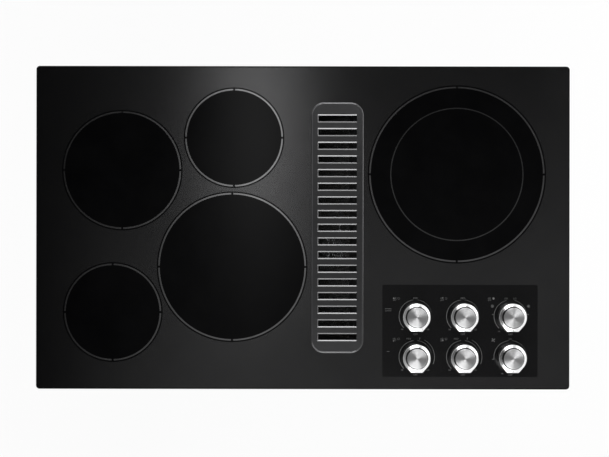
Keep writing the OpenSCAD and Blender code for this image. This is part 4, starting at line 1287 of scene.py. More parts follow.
def knob_body_mesh(axis):
    """Hollow knob from the well of its disc out over the shoulder, down its side and up inside."""
    well, crest, side = 17.6, 19.9, 17.4
    profile = [
        (0.4, well, 0), (18.0, well, 0), (18.2, well + 0.25, 0), (18.3, crest - 0.4, 0), (18.4, crest - 0.12, 0),
        (18.7, crest - 0.02, 0), (19.1, crest - 0.2, 0), (20.0, crest - 0.8, 0.25), (21.2, crest - 1.55, 0.6),
        (22.2, side + 0.3, 0.9), (22.9, side - 0.12, 1), (23.3, side - 0.5, 1), (23.45, side - 1.0, 1),
        (23.4, side - 1.8, 1), (22.5, 3.6, 1), (22.7, 3.2, 1), (22.7, 2.7, 1), (22.4, 2.3, 1), (22.2, 0.5, 1),
        (22.0, 0.1, 1),
    ]
    inside = [
        (19.2, 0.0), (19.1, 0.3), (19.1, 15.0), (18.5, 15.6), (6.6, 15.6), (6.0, 15.0), (6.0, 0.4), (5.6, 0.0),
        (3.1, 0.0), (3.05, 0.3), (3.05, 15.8), (0.3, 16.0),
    ]
    return knob_rings("knob_body", axis, profile + [(radius, height, 0) for radius, height in inside])


def knob_disc_mesh(axis):
    """Turned disc that stands in the knob's well, a little domed, with a fine edge."""
    top = 24.0
    profile = [
        (0.3, top), (3.0, top - 0.02), (6.0, top - 0.09), (9.0, top - 0.2), (12.0, top - 0.35), (14.6, top - 0.5),
        (16.4, top - 0.62), (16.85, top - 0.72), (17.1, top - 0.95), (17.1, 17.65), (0.3, 17.65),
    ]
    return knob_rings("knob_disc", axis, [(radius, height, 0) for radius, height in profile], 96)


class COOKTOP_OT_knobs(bpy.types.Operator):
    """Makes the six spun metal knobs and their pointer ticks"""

    bl_idname = "cooktop.knobs"
    bl_label = "Knobs"

    def execute(self, context):
        for control in CONTROLS:
            axis = axis_of(control)
            body = "knob_" + control
            metal = knob_nickel(axis)
            knob = keep("nickel_knob_" + control, knob_body_mesh(axis), body, metal, 28.0)
            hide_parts("knob_" + control)
            keep("spun_disc_" + control, knob_disc_mesh(axis), body, spun_metal(axis), 28.0)
            tick = self.tick_mesh(axis)
            paint = finish("tick_paint", print_ink, "tick_paint", (0.03, 0.03, 0.03), 0.0, 0.5)
            keep("knob_tick_" + control, tick, body, paint, 0)
        return {"FINISHED"}

    def tick_mesh(self, axis):
        """Thin painted line on the lug's slope."""
        bm = bmesh.new()
        half = 0.35
        rings = []
        section = ((-half, 0.0), (half, 0.0), (half, 0.16), (-half, 0.16))
        for reach, height in ((20.4, 19.0), (21.8, 18.12), (23.1, 17.38)):
            rings.append([(axis.x + x * MM, axis.y - reach * MM, axis.z + (height + z) * MM) for x, z in section])
        skin_rings(bm, rings)
        return mesh_from(bm, "knob_tick")


class COOKTOP_OT_grille(bpy.types.Operator):
    """Finishes the vent grille"""

    bl_idname = "cooktop.grille"
    bl_label = "Grille"

    def execute(self, context):
        metal = grille_metal()
        dress("vent_grille", metal)
        soften("vent_grille", 0.22 * MM)
        self.slot_ends(metal)
        return {"FINISHED"}

    def slot_ends(self, metal):
        """Small polished slopes at both ends of every slot."""
        low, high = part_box("vent_grille")
        axis_x, top = (low.x + high.x) / 2, high.z - BEAD_STEP
        first, last = low.y + SLOT_END, high.y - SLOT_END
        bm = bmesh.new()
        for i in range(SLOTS):
            y = first + (last - first) * i / (SLOTS - 1)
            for side, slope in ((-1, 1.2), (1, 0.6)):
                wall = axis_x + side * (SLOT_LENGTH / 2 + 0.1 * MM)
                section = ((0, 0.05, 6.6), (slope, 1.15, 5.3), (slope, 1.9, 5.1), (0, 1.9, 5.1))
                rings = [
                    [(wall - side * x * MM, y + across * half * MM, top - drop * MM) for x, drop, half in section]
                    for across in (-1, 1)
                ]
                skin_rings(bm, rings)
        keep("grille_slot_ends", mesh_from(bm, "grille_slot_ends"), "grille", metal, 0)


def filter_place():
    """Matrix that lays a flat shape in the sloping filter, x up the slope."""
    return Matrix.Translation(middle("filter_frame")) @ Matrix.Rotation(-FILTER_SLOPE, 4, "Y")


class COOKTOP_OT_filter(bpy.types.Operator):
    """Fills the filter with expanded metal and gives it a pull ring"""

    bl_idname = "cooktop.filter"
    bl_label = "Filter"

    def execute(self, context):
        metal = greased_aluminium_in_painted_shade()
        dress("filter_frame", metal)
        soften("filter_frame", 0.3 * MM)
        low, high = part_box("filter_frame")
        length = high.y - low.y - 18 * MM
        width = 88 * MM
        layers = (
            self.expanded_sheet(width, length, 5.2 * MM, 9.0 * MM, 0.9 * MM, 1.2 * MM, 2.2 * MM),
            self.expanded_sheet(width, length, 7.4 * MM, 13.0 * MM, 1.0 * MM, 1.2 * MM, -1.4 * MM),
        )
        mesh = join_meshes("filter_lattice", layers)
        mesh.transform(filter_place())
        lattice = keep("filter_lattice", mesh, "filter", metal, 30.0)
        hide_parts("filter_mesh")
        self.pull_ring()
        return {"FINISHED"}

    def expanded_sheet(self, width, length, short, long, strand, thick, level):
        """Flat sheet of diamond cells."""
        bm = bmesh.new()
        across, along = int(width / short), int(length / long * 2)
        for row in range(along + 1):
            for column in range(across + 1):
                x = (column - across / 2 + (0.5 if row % 2 else 0.0)) * short
                y = (row - along / 2) * long / 2
                if abs(x) > width / 2 or abs(y) > length / 2:
                    continue
                corners = [(x + short / 2, y), (x, y + long / 2), (x - short / 2, y), (x, y - long / 2)]
                shrink = 1 - strand / short
                lean = 0.35 * strand
                outer = [bm.verts.new((px, py, level + (lean if k % 2 else 0))) for k, (px, py) in enumerate(corners)]
                inner = [
                    bm.verts.new((x + (px - x) * shrink, y + (py - y) * shrink, level - (lean if k % 2 else 0)))
                    for k, (px, py) in enumerate(corners)
                ]
                for k in range(4):
                    n = (k + 1) % 4
                    bm.faces.new((outer[k], outer[n], inner[n], inner[k]))
        bmesh.ops.remove_doubles(bm, verts=bm.verts, dist=0.02 * MM)
        bmesh.ops.solidify(bm, geom=bm.faces[:], thickness=thick * 0.6)
        mesh = bpy.data.meshes.new("sheet")
        bm.to_mesh(mesh)
        bm.free()
        return mesh

    def pull_ring(self):
        """Folded wire pull near the filter's upper edge."""
        points = []
        for i in range(25):
            turn = math.pi * i / 24
            points.append((30 * MM - 12 * MM * math.sin(turn), 11 * MM * math.cos(turn), 5.4 * MM))
        points = [(42 * MM, points[0][1], 5.2 * MM), *points, (42 * MM, points[-1][1], 5.2 * MM)]
        bm = bmesh.new()
        tube_path(bm, points, 0.8 * MM)
        mesh = mesh_from(bm, "filter_pull")
        mesh.transform(filter_place())
        keep("filter_pull", mesh, "filter", bright_steel())


class COOKTOP_OT_elements(bpy.types.Operator):
    """Finishes the dishes, insulation, ribbons and limiters"""

    bl_idname = "cooktop.elements"
    bl_label = "Elements"

    def execute(self, context):
        dish = plain_steel("element_steel", (0.5, 0.5, 0.5), 0.38, (700.0, 90.0, 300.0))
        cup, ribbon = fibre_board(), heated_ribbon()
        for element in ELEMENTS:
            dress("element_dish_" + element, dish)
            dress("element_insulation_" + element, cup)
            dress("element_coil_" + element, ribbon)
        dress("element_limiters", moulded_plastic("limiter_ceramic", (0.76, 0.74, 0.68), 0.6))
        return {"FINISHED"}


class COOKTOP_OT_controls(bpy.types.Operator):
    """Finishes the switches, cams, shafts and their bracket"""

    bl_idname = "cooktop.controls"
    bl_label = "Controls"

    def execute(self, context):
        dress("control_bracket", zinc())
        cam = moulded_plastic("cam_plastic", (0.82, 0.82, 0.8), 0.35)
        for control in CONTROLS:
            dress("switch_" + control, white_plastic())
            dress("switch_cam_" + control, cam)
            dress("control_shaft_" + control, bright_steel())
        return {"FINISHED"}


def rivet(bm, place_at, outward, radius=2.4, height=1.2):
    """Round head of a rivet or weld standing on a sheet, its sizes in millimetres."""
    shares = ((1.0, 0.25), (0.8, 0.7), (0.45, 0.95), (0.0, 1.0))
    profile = [(radius, -0.2), *((radius * across, height * up) for across, up in shares)]
    turn_shape(bm, place_at, outward, profile, 14)


def pressed_louvre(bm, place_at, along, outward, length, height, depth):
    """Hood pressed out over a slit: rounded above and open at its lower edge."""
    place_at, along, outward = Vector(place_at), Vector(along), Vector(outward)
    profile = ((0.0, 0.5), (0.45, 0.43), (0.8, 0.2), (1.0, -0.12), (1.0, -0.5), (0.84, -0.5), (0.8, -0.2), (-0.1, -0.2))
    rings = []
    for reach, share in ((-0.5, 0.05), (-0.44, 0.55), (-0.34, 1.0), (0.34, 1.0), (0.44, 0.55), (0.5, 0.05)):
        rings.append(
            [
                place_at + along * (reach * length) + outward * (out * depth * share) + Vector((0, 0, up * height))
                for out, up in profile
            ]
        )
    skin_rings(bm, rings)


def slab(bm, low, high):
    """Thin upright or flat plate with its corners taken off, between two corner points."""
    size = [high[k] - low[k] for k in range(3)]
    thin = size.index(min(size))
    a, b = [k for k in range(3) if k != thin]
    cut = min(size[a], size[b]) * 0.12
    outline = [
        (low[a] + cut, low[b]), (high[a] - cut, low[b]), (high[a], low[b] + cut), (high[a], high[b] - cut),
        (high[a] - cut, high[b]), (low[a] + cut, high[b]), (low[a], high[b] - cut), (low[a], low[b] + cut),
    ]
    rings = []
    for level in (low[thin], high[thin]):
        ring = []
        for u, v in outline:
            point = [0.0, 0.0, 0.0]
            point[thin], point[a], point[b] = level, u, v
            ring.append(point)
        rings.append(ring)
    skin_rings(bm, rings)


class COOKTOP_OT_burner_box(bpy.types.Operator):
    """Finishes the burner box and gives it pressed ribs, louvres and welded corners"""

    bl_idname = "cooktop.burner_box"
    bl_label = "Burner Box"

    def execute(self, context):
        dress("burner_box", zinc())
        soften("burner_box", 0.5 * MM)
        low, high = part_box("burner_box")
        wall_x, wall_y, floor_z = high.x - BOX_FLANGE, high.y - BOX_FLANGE, low.z
        self.floor_ribs(wall_x, floor_z)
        self.wall_louvres(wall_x, wall_y, floor_z)
        self.corner_tabs(wall_x, wall_y, floor_z)
        return {"FINISHED"}

    def floor_ribs(self, wall_x, floor_z):
        """Long ribs that stiffen the floor, clear of the plenum and the junction box."""
        plenum_low, plenum_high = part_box("plenum")
        box_low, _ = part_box("junction_box")
        clear = 14 * MM
        bm = bmesh.new()
        for row in range(-2, 3):
            y = row * 92 * MM
            right_end = box_low.x - clear if row > 0 else wall_x - 30 * MM
            for start, end in ((30 * MM - wall_x, plenum_low.x - clear), (plenum_high.x + clear, right_end)):
                pressed_bead(bm, (start, y, floor_z), (end, y, floor_z), (0, 0, -1), 15 * MM, 3 * MM)
        keep("box_floor_ribs", mesh_from(bm, "box_floor_ribs"), "root", zinc())

    def wall_louvres(self, wall_x, wall_y, floor_z):
        """Rows of louvres that let cooling air in through all four walls, each with a near-black slab of painted shade
        in its slit.
        """
        hoods, slits = bmesh.new(), bmesh.new()
        length, height, depth = 44 * MM, 7 * MM, 3.4 * MM
        places = []
        for level in (floor_z + 15 * MM, floor_z + 27 * MM):
            for side in (-1, 1):
                for column in range(-2, 2):
                    y = (column + 0.5) * 54 * MM
                    places.append(((side * wall_x, y, level), (0, 1, 0), (side, 0, 0)))
                for group in (-1, 1):
                    for column in range(4):
                        x = group * (150 + 54 * column) * MM
                        places.append(((x, side * wall_y, level), (1, 0, 0), (0, side, 0)))
        for place_at, along, outward in places:
            pressed_louvre(hoods, place_at, along, outward, length, height, depth)
            # Painted shade: a near-black slab in each slit stands for the dark inside of the box.
            reach = [abs(a) * length * 0.38 + abs(o) * 0.15 * MM for a, o in zip(along, outward)]
            foot = place_at[2] - height * 0.36
            slab(
                slits,
                (place_at[0] - reach[0], place_at[1] - reach[1], foot - 1.1 * MM),
                (place_at[0] + reach[0], place_at[1] + reach[1], foot + 1.1 * MM),
            )
        keep("box_louvres", mesh_from(hoods, "box_louvres"), "root", zinc())
        keep("box_louvre_painted_shade", mesh_from(slits, "box_louvre_painted_shade"), "root", dark_gap(), 0)

    def corner_tabs(self, wall_x, wall_y, floor_z):
        """Folded tabs that close the corners, each held by three spot welds."""
        tabs, welds = bmesh.new(), bmesh.new()
        for side_x in (-1, 1):
            for side_y in (-1, 1):
                inner, outer = sorted((side_x * (wall_x - 26 * MM), side_x * (wall_x - 9 * MM)))
                face = side_y * wall_y
                front, back = sorted((face - side_y * 0.1 * MM, face + side_y * 0.9 * MM))
                slab(tabs, (inner, front, floor_z + 4 * MM), (outer, back, -8 * MM))
                for level in (floor_z + 14 * MM, floor_z / 2 - 2 * MM, -18 * MM):
                    spot = ((inner + outer) / 2, face + side_y * 0.9 * MM, level)
                    rivet(welds, spot, (0, side_y, 0), 2.8, 0.35)
        keep("box_corner_tabs", mesh_from(tabs, "box_corner_tabs"), "root", zinc())
        keep("box_spot_welds", mesh_from(welds, "box_spot_welds"), "root", bright_steel())


class COOKTOP_OT_plenum(bpy.types.Operator):
    """Finishes the plenum, with pressed ribs and rivets along its seams"""

    bl_idname = "cooktop.plenum"
    bl_label = "Plenum"

    def execute(self, context):
        dress("plenum", zinc())
        soften("plenum", 0.4 * MM)
        _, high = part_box("plenum")
        left = high.x - PLENUM_FLANGE - PLENUM_WIDTH
        self.ribs(left)
        self.rivets(left)
        return {"FINISHED"}

    def half_depth(self, z):
        """Half of the plenum's depth at a height: straight above, drawn in towards its floor below."""
        below = max(PLENUM_BEND_Z - z, 0.0)
        return PLENUM_HALF_DEPTH - below / (PLENUM_BEND_Z - PLENUM_FLOOR_Z) * PLENUM_DRAWN_IN

    def ribs(self, left):
        """Level ribs on the tall left wall, and short upright ones on the right beside the blower."""
        bm = bmesh.new()
        for z in (-112 * MM, -165 * MM, -218 * MM, -271 * MM):
            reach = self.half_depth(z - 8 * MM) - 30 * MM
            pressed_bead(bm, (left, -reach, z), (left, reach, z), (-1, 0, 0), 13 * MM, 2.6 * MM)
        right = left + PLENUM_WIDTH
        for y in (-196, -172, 176, 200):
            start, end = (right, y * MM, -148 * MM), (right, y * MM, -92 * MM)
            pressed_bead(bm, start, end, (1, 0, 0), 10 * MM, 2.2 * MM)
        keep("plenum_ribs", mesh_from(bm, "plenum_ribs"), "root", zinc())

    def rivets(self, left):
        """Rivets down the lapped seams of the left wall."""
        bm = bmesh.new()
        for step in range(7):
            z = (-92 - 37 * step) * MM
            for side in (-1, 1):
                rivet(bm, (left, side * (self.half_depth(z) - 9 * MM), z), (-1, 0, 0))
        for y in range(-3, 4):
            rivet(bm, (left, y * 36 * MM, -322 * MM), (-1, 0, 0))
        keep("plenum_rivets", mesh_from(bm, "plenum_rivets"), "root", bright_steel())


class COOKTOP_OT_jar(bpy.types.Operator):
    """Makes the overflow jar with its grip and screw bands"""

    bl_idname = "cooktop.jar"
    bl_label = "Overflow Jar"

    def execute(self, context):
        low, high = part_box("overflow_jar")
        centre = (low + high) / 2
        profile = [
            (0.3, 1.2, 0), (24, 1.2, 0), (27, 0.3, 0), (30, 0, 0), (33.5, 0.2, 0), (35.3, 1.5, 0), (36, 4, 0),
            (36, 43, 0), (36.1, 45, 0), (36.2, 47, 1), (36.2, 60, 1), (36.1, 62, 0), (36, 65.4, 0), (37.1, 66.1, 0),
            (37.5, 67, 0), (37.1, 67.9, 0), (36.1, 68.5, 0), (36.1, 70.5, 0), (37.1, 71.1, 0), (37.5, 72, 0),
            (37.1, 72.9, 0), (36.2, 73.6, 0), (35.4, 74, 0), (34.5, 74, 0), (34, 73.4, 0), (34, 5, 0), (33, 3, 0),
            (0.3, 2.4, 0),
        ]
        steps = 144
        rings = []
        for radius, height, grip in profile:
            ring = []
            for i in range(steps):
                turn = 2 * math.pi * i / steps
                reach = (radius + grip * 0.6 * (1 + math.cos(36 * turn))) * MM
                ring.append(
                    (centre.x + reach * math.cos(turn), centre.y + reach * math.sin(turn), low.z + height * MM)
                )
            rings.append(ring)
        bm = bmesh.new()
        skin_rings(bm, rings)
        plastic = moulded_plastic("jar_plastic", (0.86, 0.87, 0.88), 0.34, Transmission_Weight=0.25, IOR=1.49)
        jar = keep("screw_jar", mesh_from(bm, "screw_jar"), "jar", plastic, 30.0)
        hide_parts("overflow_jar")
        return {"FINISHED"}


def scroll_path(x, spread):
    """The scroll's outline in the plane at x, from its outlet's lip round to its outlet's floor."""
    start, small, large, outlet, lip = 30, 108, 170, 164, -54.0
    points = [(outlet, lip), (small * math.cos(math.radians(start)), lip)]
    for step in range(1, 40):
        turn = -start + 7.5 * step
        radius = small + (large - small) * (turn + start) / (270 + start) + spread
        points.append((radius * math.cos(math.radians(turn)), radius * math.sin(math.radians(turn))))
    points += [(0, -large - spread), (60, -large - spread), (outlet, -large - spread)]
    return [(x, y * MM, BLOWER_Z + z * MM) for y, z in points]


class COOKTOP_OT_blower(bpy.types.Operator):
    """Finishes the blower, its motor and its wheel, with seams, ribs, vents and a capacitor"""

    bl_idname = "cooktop.blower"
    bl_label = "Blower"

    def execute(self, context):
        for node in ("blower_housing", "blower_inlet_cover"):
            dress(node, black_paint())
            soften(node, 0.35 * MM)
        dress("blower_wheel", plain_steel("wheel_steel", (0.5, 0.5, 0.51), 0.36, (300.0, 900.0, 900.0)))
        dress("motor_shaft", bright_steel())
        dress("motor_body", black_paint())
        soften("motor_body", 0.6 * MM)
        cover_low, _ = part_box("blower_inlet_cover")
        body_low, body_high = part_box("motor_body")
        self.seams(cover_low.x, body_low.x)
        self.back_ribs(body_low.x)
        self.end_bell(body_high.x)
        self.capacitor(body_low.x)
        return {"FINISHED"}

    def seams(self, front_x, back_x):
        """Rolled lock seams that join the scroll's wrapper to its two sides."""
        bm = bmesh.new()
        for x in (front_x + 1.5 * MM, back_x - 1.5 * MM):
            tube_path(bm, scroll_path(x, 0.8), 2.2 * MM)
        keep("scroll_seams", mesh_from(bm, "scroll_seams"), "root", black_paint(), 50.0)

    def back_ribs(self, back_x):
        """Ribs pressed into the back plate, spread out from the motor."""
        bm = bmesh.new()
        for step in range(8):
            turn = math.radians(22.5 + 45 * step)
            if step == 4:
                continue
            ends = [
                (back_x - 0.2 * MM, reach * MM * math.cos(turn), BLOWER_Z + reach * MM * math.sin(turn))
                for reach in (60, 102)
            ]
            pressed_bead(bm, *ends, (1, 0, 0), 13 * MM, 4.5 * MM)
        keep("blower_back_ribs", mesh_from(bm, "blower_back_ribs"), "root", black_paint())

    def end_bell(self, end_x):
        """Slotted end plate over a near-black disc of painted shade, with a bearing cap and four bolts."""
        turned = Matrix.Translation((end_x, 0, BLOWER_Z)) @ Matrix.Rotation(math.pi / 2, 4, "Y")
        outlines = [circle_outline((0, 0), 38 * MM, 96), circle_outline((0, 0), 9 * MM, 48)]
        for step in range(12):
            first = 30 * step + 5
            outlines.append(arc_band((0, 0), 22.5 * MM, first, first + 20, 16 * MM, 16 * MM, 8))
        plate = printed_plate("motor_end_plate", outlines, 0.3 * MM, 2.2 * MM)
        plate.transform(turned)
        keep("motor_end_plate", plate, "root", black_paint(), 30.0)
        # Painted shade: a near-black disc behind the slots stands for the dark inside of the motor.
        dark = printed_plate("motor_painted_shade_gap", [circle_outline((0, 0), 37.5 * MM, 72)], 0.0, 0.3 * MM)
        dark.transform(turned)
        keep("motor_painted_shade_gap", dark, "root", dark_gap(), 0)
        bm = bmesh.new()
        profile = [(9.6, 0.1), (9.6, 3.4), (8.6, 4.4), (6.0, 5.2), (3.0, 5.5), (2.9, 4.4), (0.0, 4.4)]
        turn_shape(bm, (end_x, 0, BLOWER_Z), (1, 0, 0), profile, 36)
        for step in range(4):
            turn = math.radians(45 + 90 * step)
            spot = (end_x + 2.3 * MM, 34.3 * MM * math.cos(turn), BLOWER_Z + 34.3 * MM * math.sin(turn))
            turn_shape(bm, spot, (1, 0, 0), [(3.3, 0), (3.3, 2.2), (2.9, 2.6), (0, 2.6)], 6)
            turn_shape(bm, spot, (1, 0, 0), [(1.5, 2.0), (1.5, 4.6), (1.1, 5), (0, 5)], 14)
        keep("motor_bolts_and_cap", mesh_from(bm, "motor_bolts"), "root", bright_steel(), 30.0)

    def capacitor(self, back_x):
        """Run capacitor in its clip on the back plate, beside the motor."""
        turn = math.radians(202.5)
        foot = Vector((back_x, 80 * MM * math.cos(turn), BLOWER_Z + 80 * MM * math.sin(turn)))
        can, clip = bmesh.new(), bmesh.new()
        profile = [(15, 0), (15.2, 1.0), (15.2, 41), (15.8, 42), (15.8, 43), (14.6, 43.4), (13.8, 42.2), (0, 42.2)]
        turn_shape(can, foot, (1, 0, 0), profile, 40)
        for side in (-5, 5):
            low = foot + Vector((42 * MM, (side - 0.4) * MM, -3.2 * MM))
            slab(can, low, low + Vector((7.5 * MM, 0.8 * MM, 6.4 * MM)))
        turn_shape(clip, foot, (1, 0, 0), [(15.3, 12), (16.2, 12), (16.2, 26), (15.3, 26)], 40)
        for low, high in (((-0.2, 14, -7), (1.2, 27, 7)), ((0.5, 15.2, -7), (26, 16.4, 7))):
            slab(clip, foot + Vector(low) * MM, foot + Vector(high) * MM)
        shell = plain_steel("capacitor_can", (0.62, 0.62, 0.63), 0.42, (90.0, 900.0, 900.0))
        keep("motor_capacitor", mesh_from(can, "motor_capacitor"), "root", shell, 30.0)
        keep("capacitor_clip", mesh_from(clip, "capacitor_clip"), "root", zinc(), 30.0)


class COOKTOP_OT_outlet(bpy.types.Operator):
    """Finishes the round outlet and its flap"""

    bl_idname = "cooktop.outlet"
    bl_label = "Outlet"

    def execute(self, context):
        dress("outlet_collar", zinc())
        soften("outlet_collar", 0.3 * MM)
        metal = plain_steel("damper_aluminium", (0.66, 0.66, 0.67), 0.34, (900.0, 300.0, 90.0))
        dress("damper_flap", metal)
        self.lap_seam()
        self.flap_ribs(metal)
        return {"FINISHED"}

    def lap_seam(self):
        """Riveted lap where the collar's sheet meets itself."""
        low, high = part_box("outlet_collar")
        radius = COLLAR_RADIUS
        centre_x, centre_z = (low.x + high.x) / 2, low.z + radius
        seam, rivets = bmesh.new(), bmesh.new()
        rings = []
        for y in (high.y - 43 * MM, high.y - 1 * MM):
            ring = []
            for reach in (radius - 0.1 * MM, radius + 0.8 * MM):
                turns = range(-4, 5) if reach < radius else range(4, -5, -1)
                for step in turns:
                    turn = math.radians(40 + step)
                    ring.append((centre_x + reach * math.cos(turn), y, centre_z + reach * math.sin(turn)))
            rings.append(ring)
        skin_rings(seam, rings)
        turn = math.radians(40)
        outward = Vector((math.cos(turn), 0, math.sin(turn)))
        for y in (high.y - 34 * MM, high.y - 10 * MM):
            spot = Vector((centre_x, y, centre_z)) + outward * (radius + 0.7 * MM)
            rivet(rivets, spot, outward)
        keep("collar_lap_seam", mesh_from(seam, "collar_lap_seam"), "root", zinc())
        keep("collar_rivets", mesh_from(rivets, "collar_rivets"), "root", bright_steel())

    def flap_ribs(self, metal):
        """Two ribs pressed across the flap and a felt strip round its edge."""
        low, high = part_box("outlet_collar")
        centre = Vector(((low.x + high.x) / 2, 0, low.z + COLLAR_RADIUS))
        face = middle("damper_flap").y - 0.6 * MM
        ribs = bmesh.new()
        reach = 50 * MM
        for level in (26 * MM, -26 * MM):
            start = (centre.x - reach, face, centre.z + level)
            end = (centre.x + reach, face, centre.z + level)
            pressed_bead(ribs, start, end, (0, -1, 0), 9 * MM, 1.8 * MM)
        keep("damper_ribs", mesh_from(ribs, "damper_ribs"), "damper", metal)
        circles = [circle_outline((0, 0), radius, 96) for radius in (72.6 * MM, 67 * MM)]
        felt = printed_plate("damper_felt", circles, 0.0, 1.2 * MM)
        upright = Matrix.Rotation(math.pi / 2, 4, "X")
        felt.transform(Matrix.Translation((centre.x, face + 0.1 * MM, centre.z)) @ upright)
        keep("damper_felt", felt, "damper", finish("foam_seal", foam_skin), 30.0)


class COOKTOP_OT_junction(bpy.types.Operator):
    """Finishes the junction box, with knockouts and a pressed panel in its cover"""

    bl_idname = "cooktop.junction"
    bl_label = "Junction Box"

    def execute(self, context):
        for node in ("junction_box", "junction_box_cover"):
            dress(node, zinc())
            soften(node, 0.3 * MM)
        low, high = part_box("junction_box")
        centre = (low + high) / 2
        discs = bmesh.new()
        for outward, spots in (
            ((1, 0, 0), ((high.x, centre.y - 24 * MM), (high.x, centre.y + 24 * MM))),
            ((-1, 0, 0), ((low.x, centre.y),)),
            ((0, -1, 0), ((centre.x - 24 * MM, low.y), (centre.x + 24 * MM, low.y))),
        ):
            for x, y in spots:
                self.knockout(discs, (x, y, centre.z), outward)
        keep("box_knockouts", mesh_from(discs, "box_knockouts"), "root", zinc(), 30.0)
        cover_low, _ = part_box("junction_box_cover")
        outer = rounded_rectangle((centre.x, centre.y), 76 * MM, 62 * MM, 8 * MM)
        panel = printed_plate("cover_panel", [outer], cover_low.z - 0.9 * MM, 1.0 * MM)
        piece = keep("cover_panel", panel, "root", zinc(), 30.0)
        bevel = piece.modifiers.new("soft_edges", "BEVEL")
        bevel.width = 0.8 * MM
        bevel.segments = 3
        ground = bmesh.new()
        spot = (centre.x + 30 * MM, centre.y + 40 * MM, cover_low.z)
        turn_shape(ground, spot, (0, 0, -1), [(4.6, 0), (4.6, 1), (4.2, 1.2), (0, 1.2)], 24)
        turn_shape(ground, spot, (0, 0, -1), [(3.5, 1), (3.5, 3), (3.0, 3.5), (0, 3.5)], 6)
        green = finish("ground_green", satin_paint, "ground_green", (0.02, 0.16, 0.05))
        keep("ground_screw", mesh_from(ground, "ground_screw"), "root", green, 30.0)
        return {"FINISHED"}

    def knockout(self, bm, place_at, outward):
        """Punched disc still held in its hole, with a dimple and the ring round it."""
        profile = [
            (11.3, -0.1), (11.3, 0.5), (10.9, 0.7), (10.5, 0.5), (10.4, 0.15), (9.9, 0.15), (9.7, 0.6), (3.4, 0.6),
            (2.6, 0.2), (0, 0.2),
        ]
        turn_shape(bm, place_at, outward, profile, 40)


def screw_places():
    """Where each CAD screw's head ends, which way its shank runs, and its sizes, from its own vertices."""
    bm = bmesh.new()
    bm.from_mesh(NODES["screws"].data)
    bmesh.ops.remove_doubles(bm, verts=bm.verts, dist=0.001 * MM)
    left, places = set(bm.verts), []
    while left:
        group, edge = [], [min(left, key=lambda vert: vert.index)]
        left.discard(edge[0])
        while edge:
            vert = edge.pop()
            group.append(vert.co.copy())
            for link in vert.link_edges:
                other = link.other_vert(vert)
                if other in left:
                    left.discard(other)
                    edge.append(other)
        low = Vector([min(point[k] for point in group) for k in range(3)])
        high = Vector([max(point[k] for point in group) for k in range(3)])
        size = high - low
        axis = min(range(3), key=lambda k: abs(size[k - 1] - size[k - 2]))
        centre = (low + high) / 2
        reach = {}
        for end in (low[axis], high[axis]):
            near = [point for point in group if abs(point[axis] - end) < 0.5 * MM]
            reach[end] = max(
                math.hypot(point[axis - 1] - centre[axis - 1], point[axis - 2] - centre[axis - 2]) for point in near
            )
        head_end, tip_end = sorted(reach, key=reach.get, reverse=True)
        head, along = centre.copy(), Vector((0, 0, 0))
        head[axis] = head_end
        along[axis] = 1.0 if tip_end > head_end else -1.0
        places.append((head, along, reach[head_end], reach[tip_end], size[axis]))
    bm.free()
    return places


def cross_reach(turn, radius):
    """Outline of a cross recess."""
    off = abs((turn + math.pi / 4) % (math.pi / 2) - math.pi / 4)
    return min(radius * 0.55, radius * 0.14 / max(math.sin(off), 0.01))


def screw_mesh(bm, head, along, head_radius, shank_radius, length):
    """Pan-head screw with a cross recess and a threaded shank."""
    out = -along
    side, up = frame_of(out)
    steps = 32
    head_height = min(head_radius * 0.62, 3 * MM)
    joint = head - out * head_height
    profile = [(0.2 * MM, head_height - length, False), (shank_radius * 0.6, head_height - length, False)]
    thread = 0.9 * MM
    turns = int((length - head_height - 1.2 * MM) / thread)
    for step in range(turns):
        z = head_height - length + 1.0 * MM + step * thread
        profile += [(shank_radius * 0.8, z, False), (shank_radius, z + thread * 0.5, False)]
    profile += [
        (shank_radius * 0.85, 0.0, False), (head_radius, 0.0, False), (head_radius, head_height * 0.45, False),
        (head_radius * 0.9, head_height * 0.8, False), (head_radius * 0.72, head_height * 0.97, False),
        (head_radius, head_height, True), (head_radius * 0.8, head_height * 0.35, True),
        (0.05 * MM, head_height * 0.3, False),
    ]
    rings = []
    for radius, height, crossed in profile:
        ring = []
        for i in range(steps):
            turn = 2 * math.pi * i / steps
            reach = cross_reach(turn, radius) if crossed else radius
            ring.append(joint + out * height + (side * math.cos(turn) + up * math.sin(turn)) * reach)
        rings.append(ring)
    skin_rings(bm, rings)


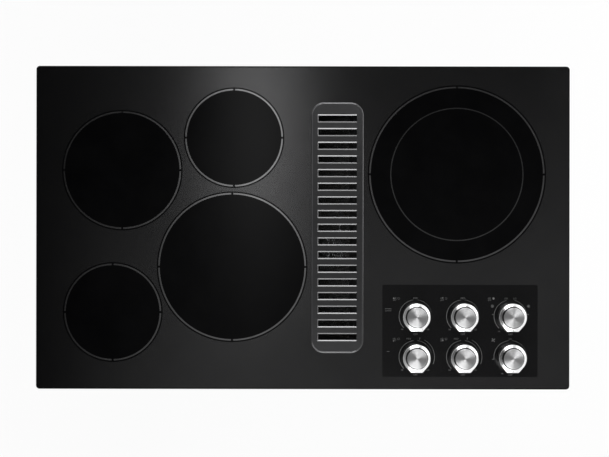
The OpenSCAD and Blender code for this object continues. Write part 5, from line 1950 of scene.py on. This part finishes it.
class COOKTOP_OT_fixings(bpy.types.Operator):
    """Finishes the hold-down brackets and makes every screw"""

    bl_idname = "cooktop.fixings"
    bl_label = "Fixings"

    def execute(self, context):
        dress("hold_down_brackets", zinc())
        soften("hold_down_brackets", 0.5 * MM)
        low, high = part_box("hold_down_brackets")
        _, box_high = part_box("burner_box")
        wall = box_high.x - BOX_FLANGE
        reach = 11 * MM
        profile = [(0, 0), (reach, 0), (reach * 0.45, reach * 0.45), (0, reach)]
        ribs = bmesh.new()
        for side_x in (-1, 1):
            for side_y in (-1, 1):
                y = side_y * (high.y - 20 * MM)
                corner = (side_x * (wall + 1.4 * MM), y, low.z + 1.4 * MM)
                rings = []
                for offset, shrink in ((-3.0, 0.5), (-1.6, 1.0), (1.6, 1.0), (3.0, 0.5)):
                    rings.append(
                        [
                            (corner[0] + side_x * u * shrink, y + offset * MM, corner[2] + v * shrink)
                            for u, v in profile
                        ]
                    )
                skin_rings(ribs, rings)
        keep("bracket_gussets", mesh_from(ribs, "bracket_gussets"), "root", zinc())
        bm = bmesh.new()
        for head, along, head_radius, shank_radius, length in screw_places():
            screw_mesh(bm, head, along, head_radius, shank_radius, length)
        screws = keep("cross_head_screws", mesh_from(bm, "screws"), "root", bright_steel(), 30.0)
        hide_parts("screws")
        return {"FINISHED"}


class CooktopPanel(bpy.types.Panel):
    """Lists the cooktop's steps and settings"""

    bl_idname = "COOKTOP_PT_steps"
    bl_label = "Downdraft Cooktop"
    bl_space_type = "VIEW_3D"
    bl_region_type = "UI"
    bl_category = "Cooktop"

    def draw(self, context):
        for step in STEPS:
            self.layout.operator(step.bl_idname)
        for group in (context.scene.cooktop_print, context.scene.cooktop_metal, context.scene.cooktop_stage):
            box = self.layout.box()
            for name in group.__annotations__:
                box.prop(group, name)


STEPS = (
    COOKTOP_OT_stage,
    COOKTOP_OT_glass,
    COOKTOP_OT_printing,
    COOKTOP_OT_knobs,
    COOKTOP_OT_grille,
    COOKTOP_OT_filter,
    COOKTOP_OT_elements,
    COOKTOP_OT_controls,
    COOKTOP_OT_burner_box,
    COOKTOP_OT_plenum,
    COOKTOP_OT_jar,
    COOKTOP_OT_blower,
    COOKTOP_OT_outlet,
    COOKTOP_OT_junction,
    COOKTOP_OT_fixings,
)
SETTINGS = (CooktopPrintSettings, CooktopMetalSettings, CooktopStageSettings)


def register():
    """Adds the settings, the operators and the panel."""
    for cls in (*SETTINGS, *STEPS, CooktopPanel):
        bpy.utils.register_class(cls)
    bpy.types.Scene.cooktop_print = bpy.props.PointerProperty(type=CooktopPrintSettings)
    bpy.types.Scene.cooktop_metal = bpy.props.PointerProperty(type=CooktopMetalSettings)
    bpy.types.Scene.cooktop_stage = bpy.props.PointerProperty(type=CooktopStageSettings)


def unregister():
    """Takes them out again, last first."""
    del bpy.types.Scene.cooktop_stage
    del bpy.types.Scene.cooktop_metal
    del bpy.types.Scene.cooktop_print
    for cls in (CooktopPanel, *reversed(STEPS), *reversed(SETTINGS)):
        bpy.utils.unregister_class(cls)


def main():
    """Runs every step in order."""
    register()
    for step in STEPS:
        group, name = step.bl_idname.split(".")
        getattr(getattr(bpy.ops, group), name)()


if __name__ == "__main__":
    main()
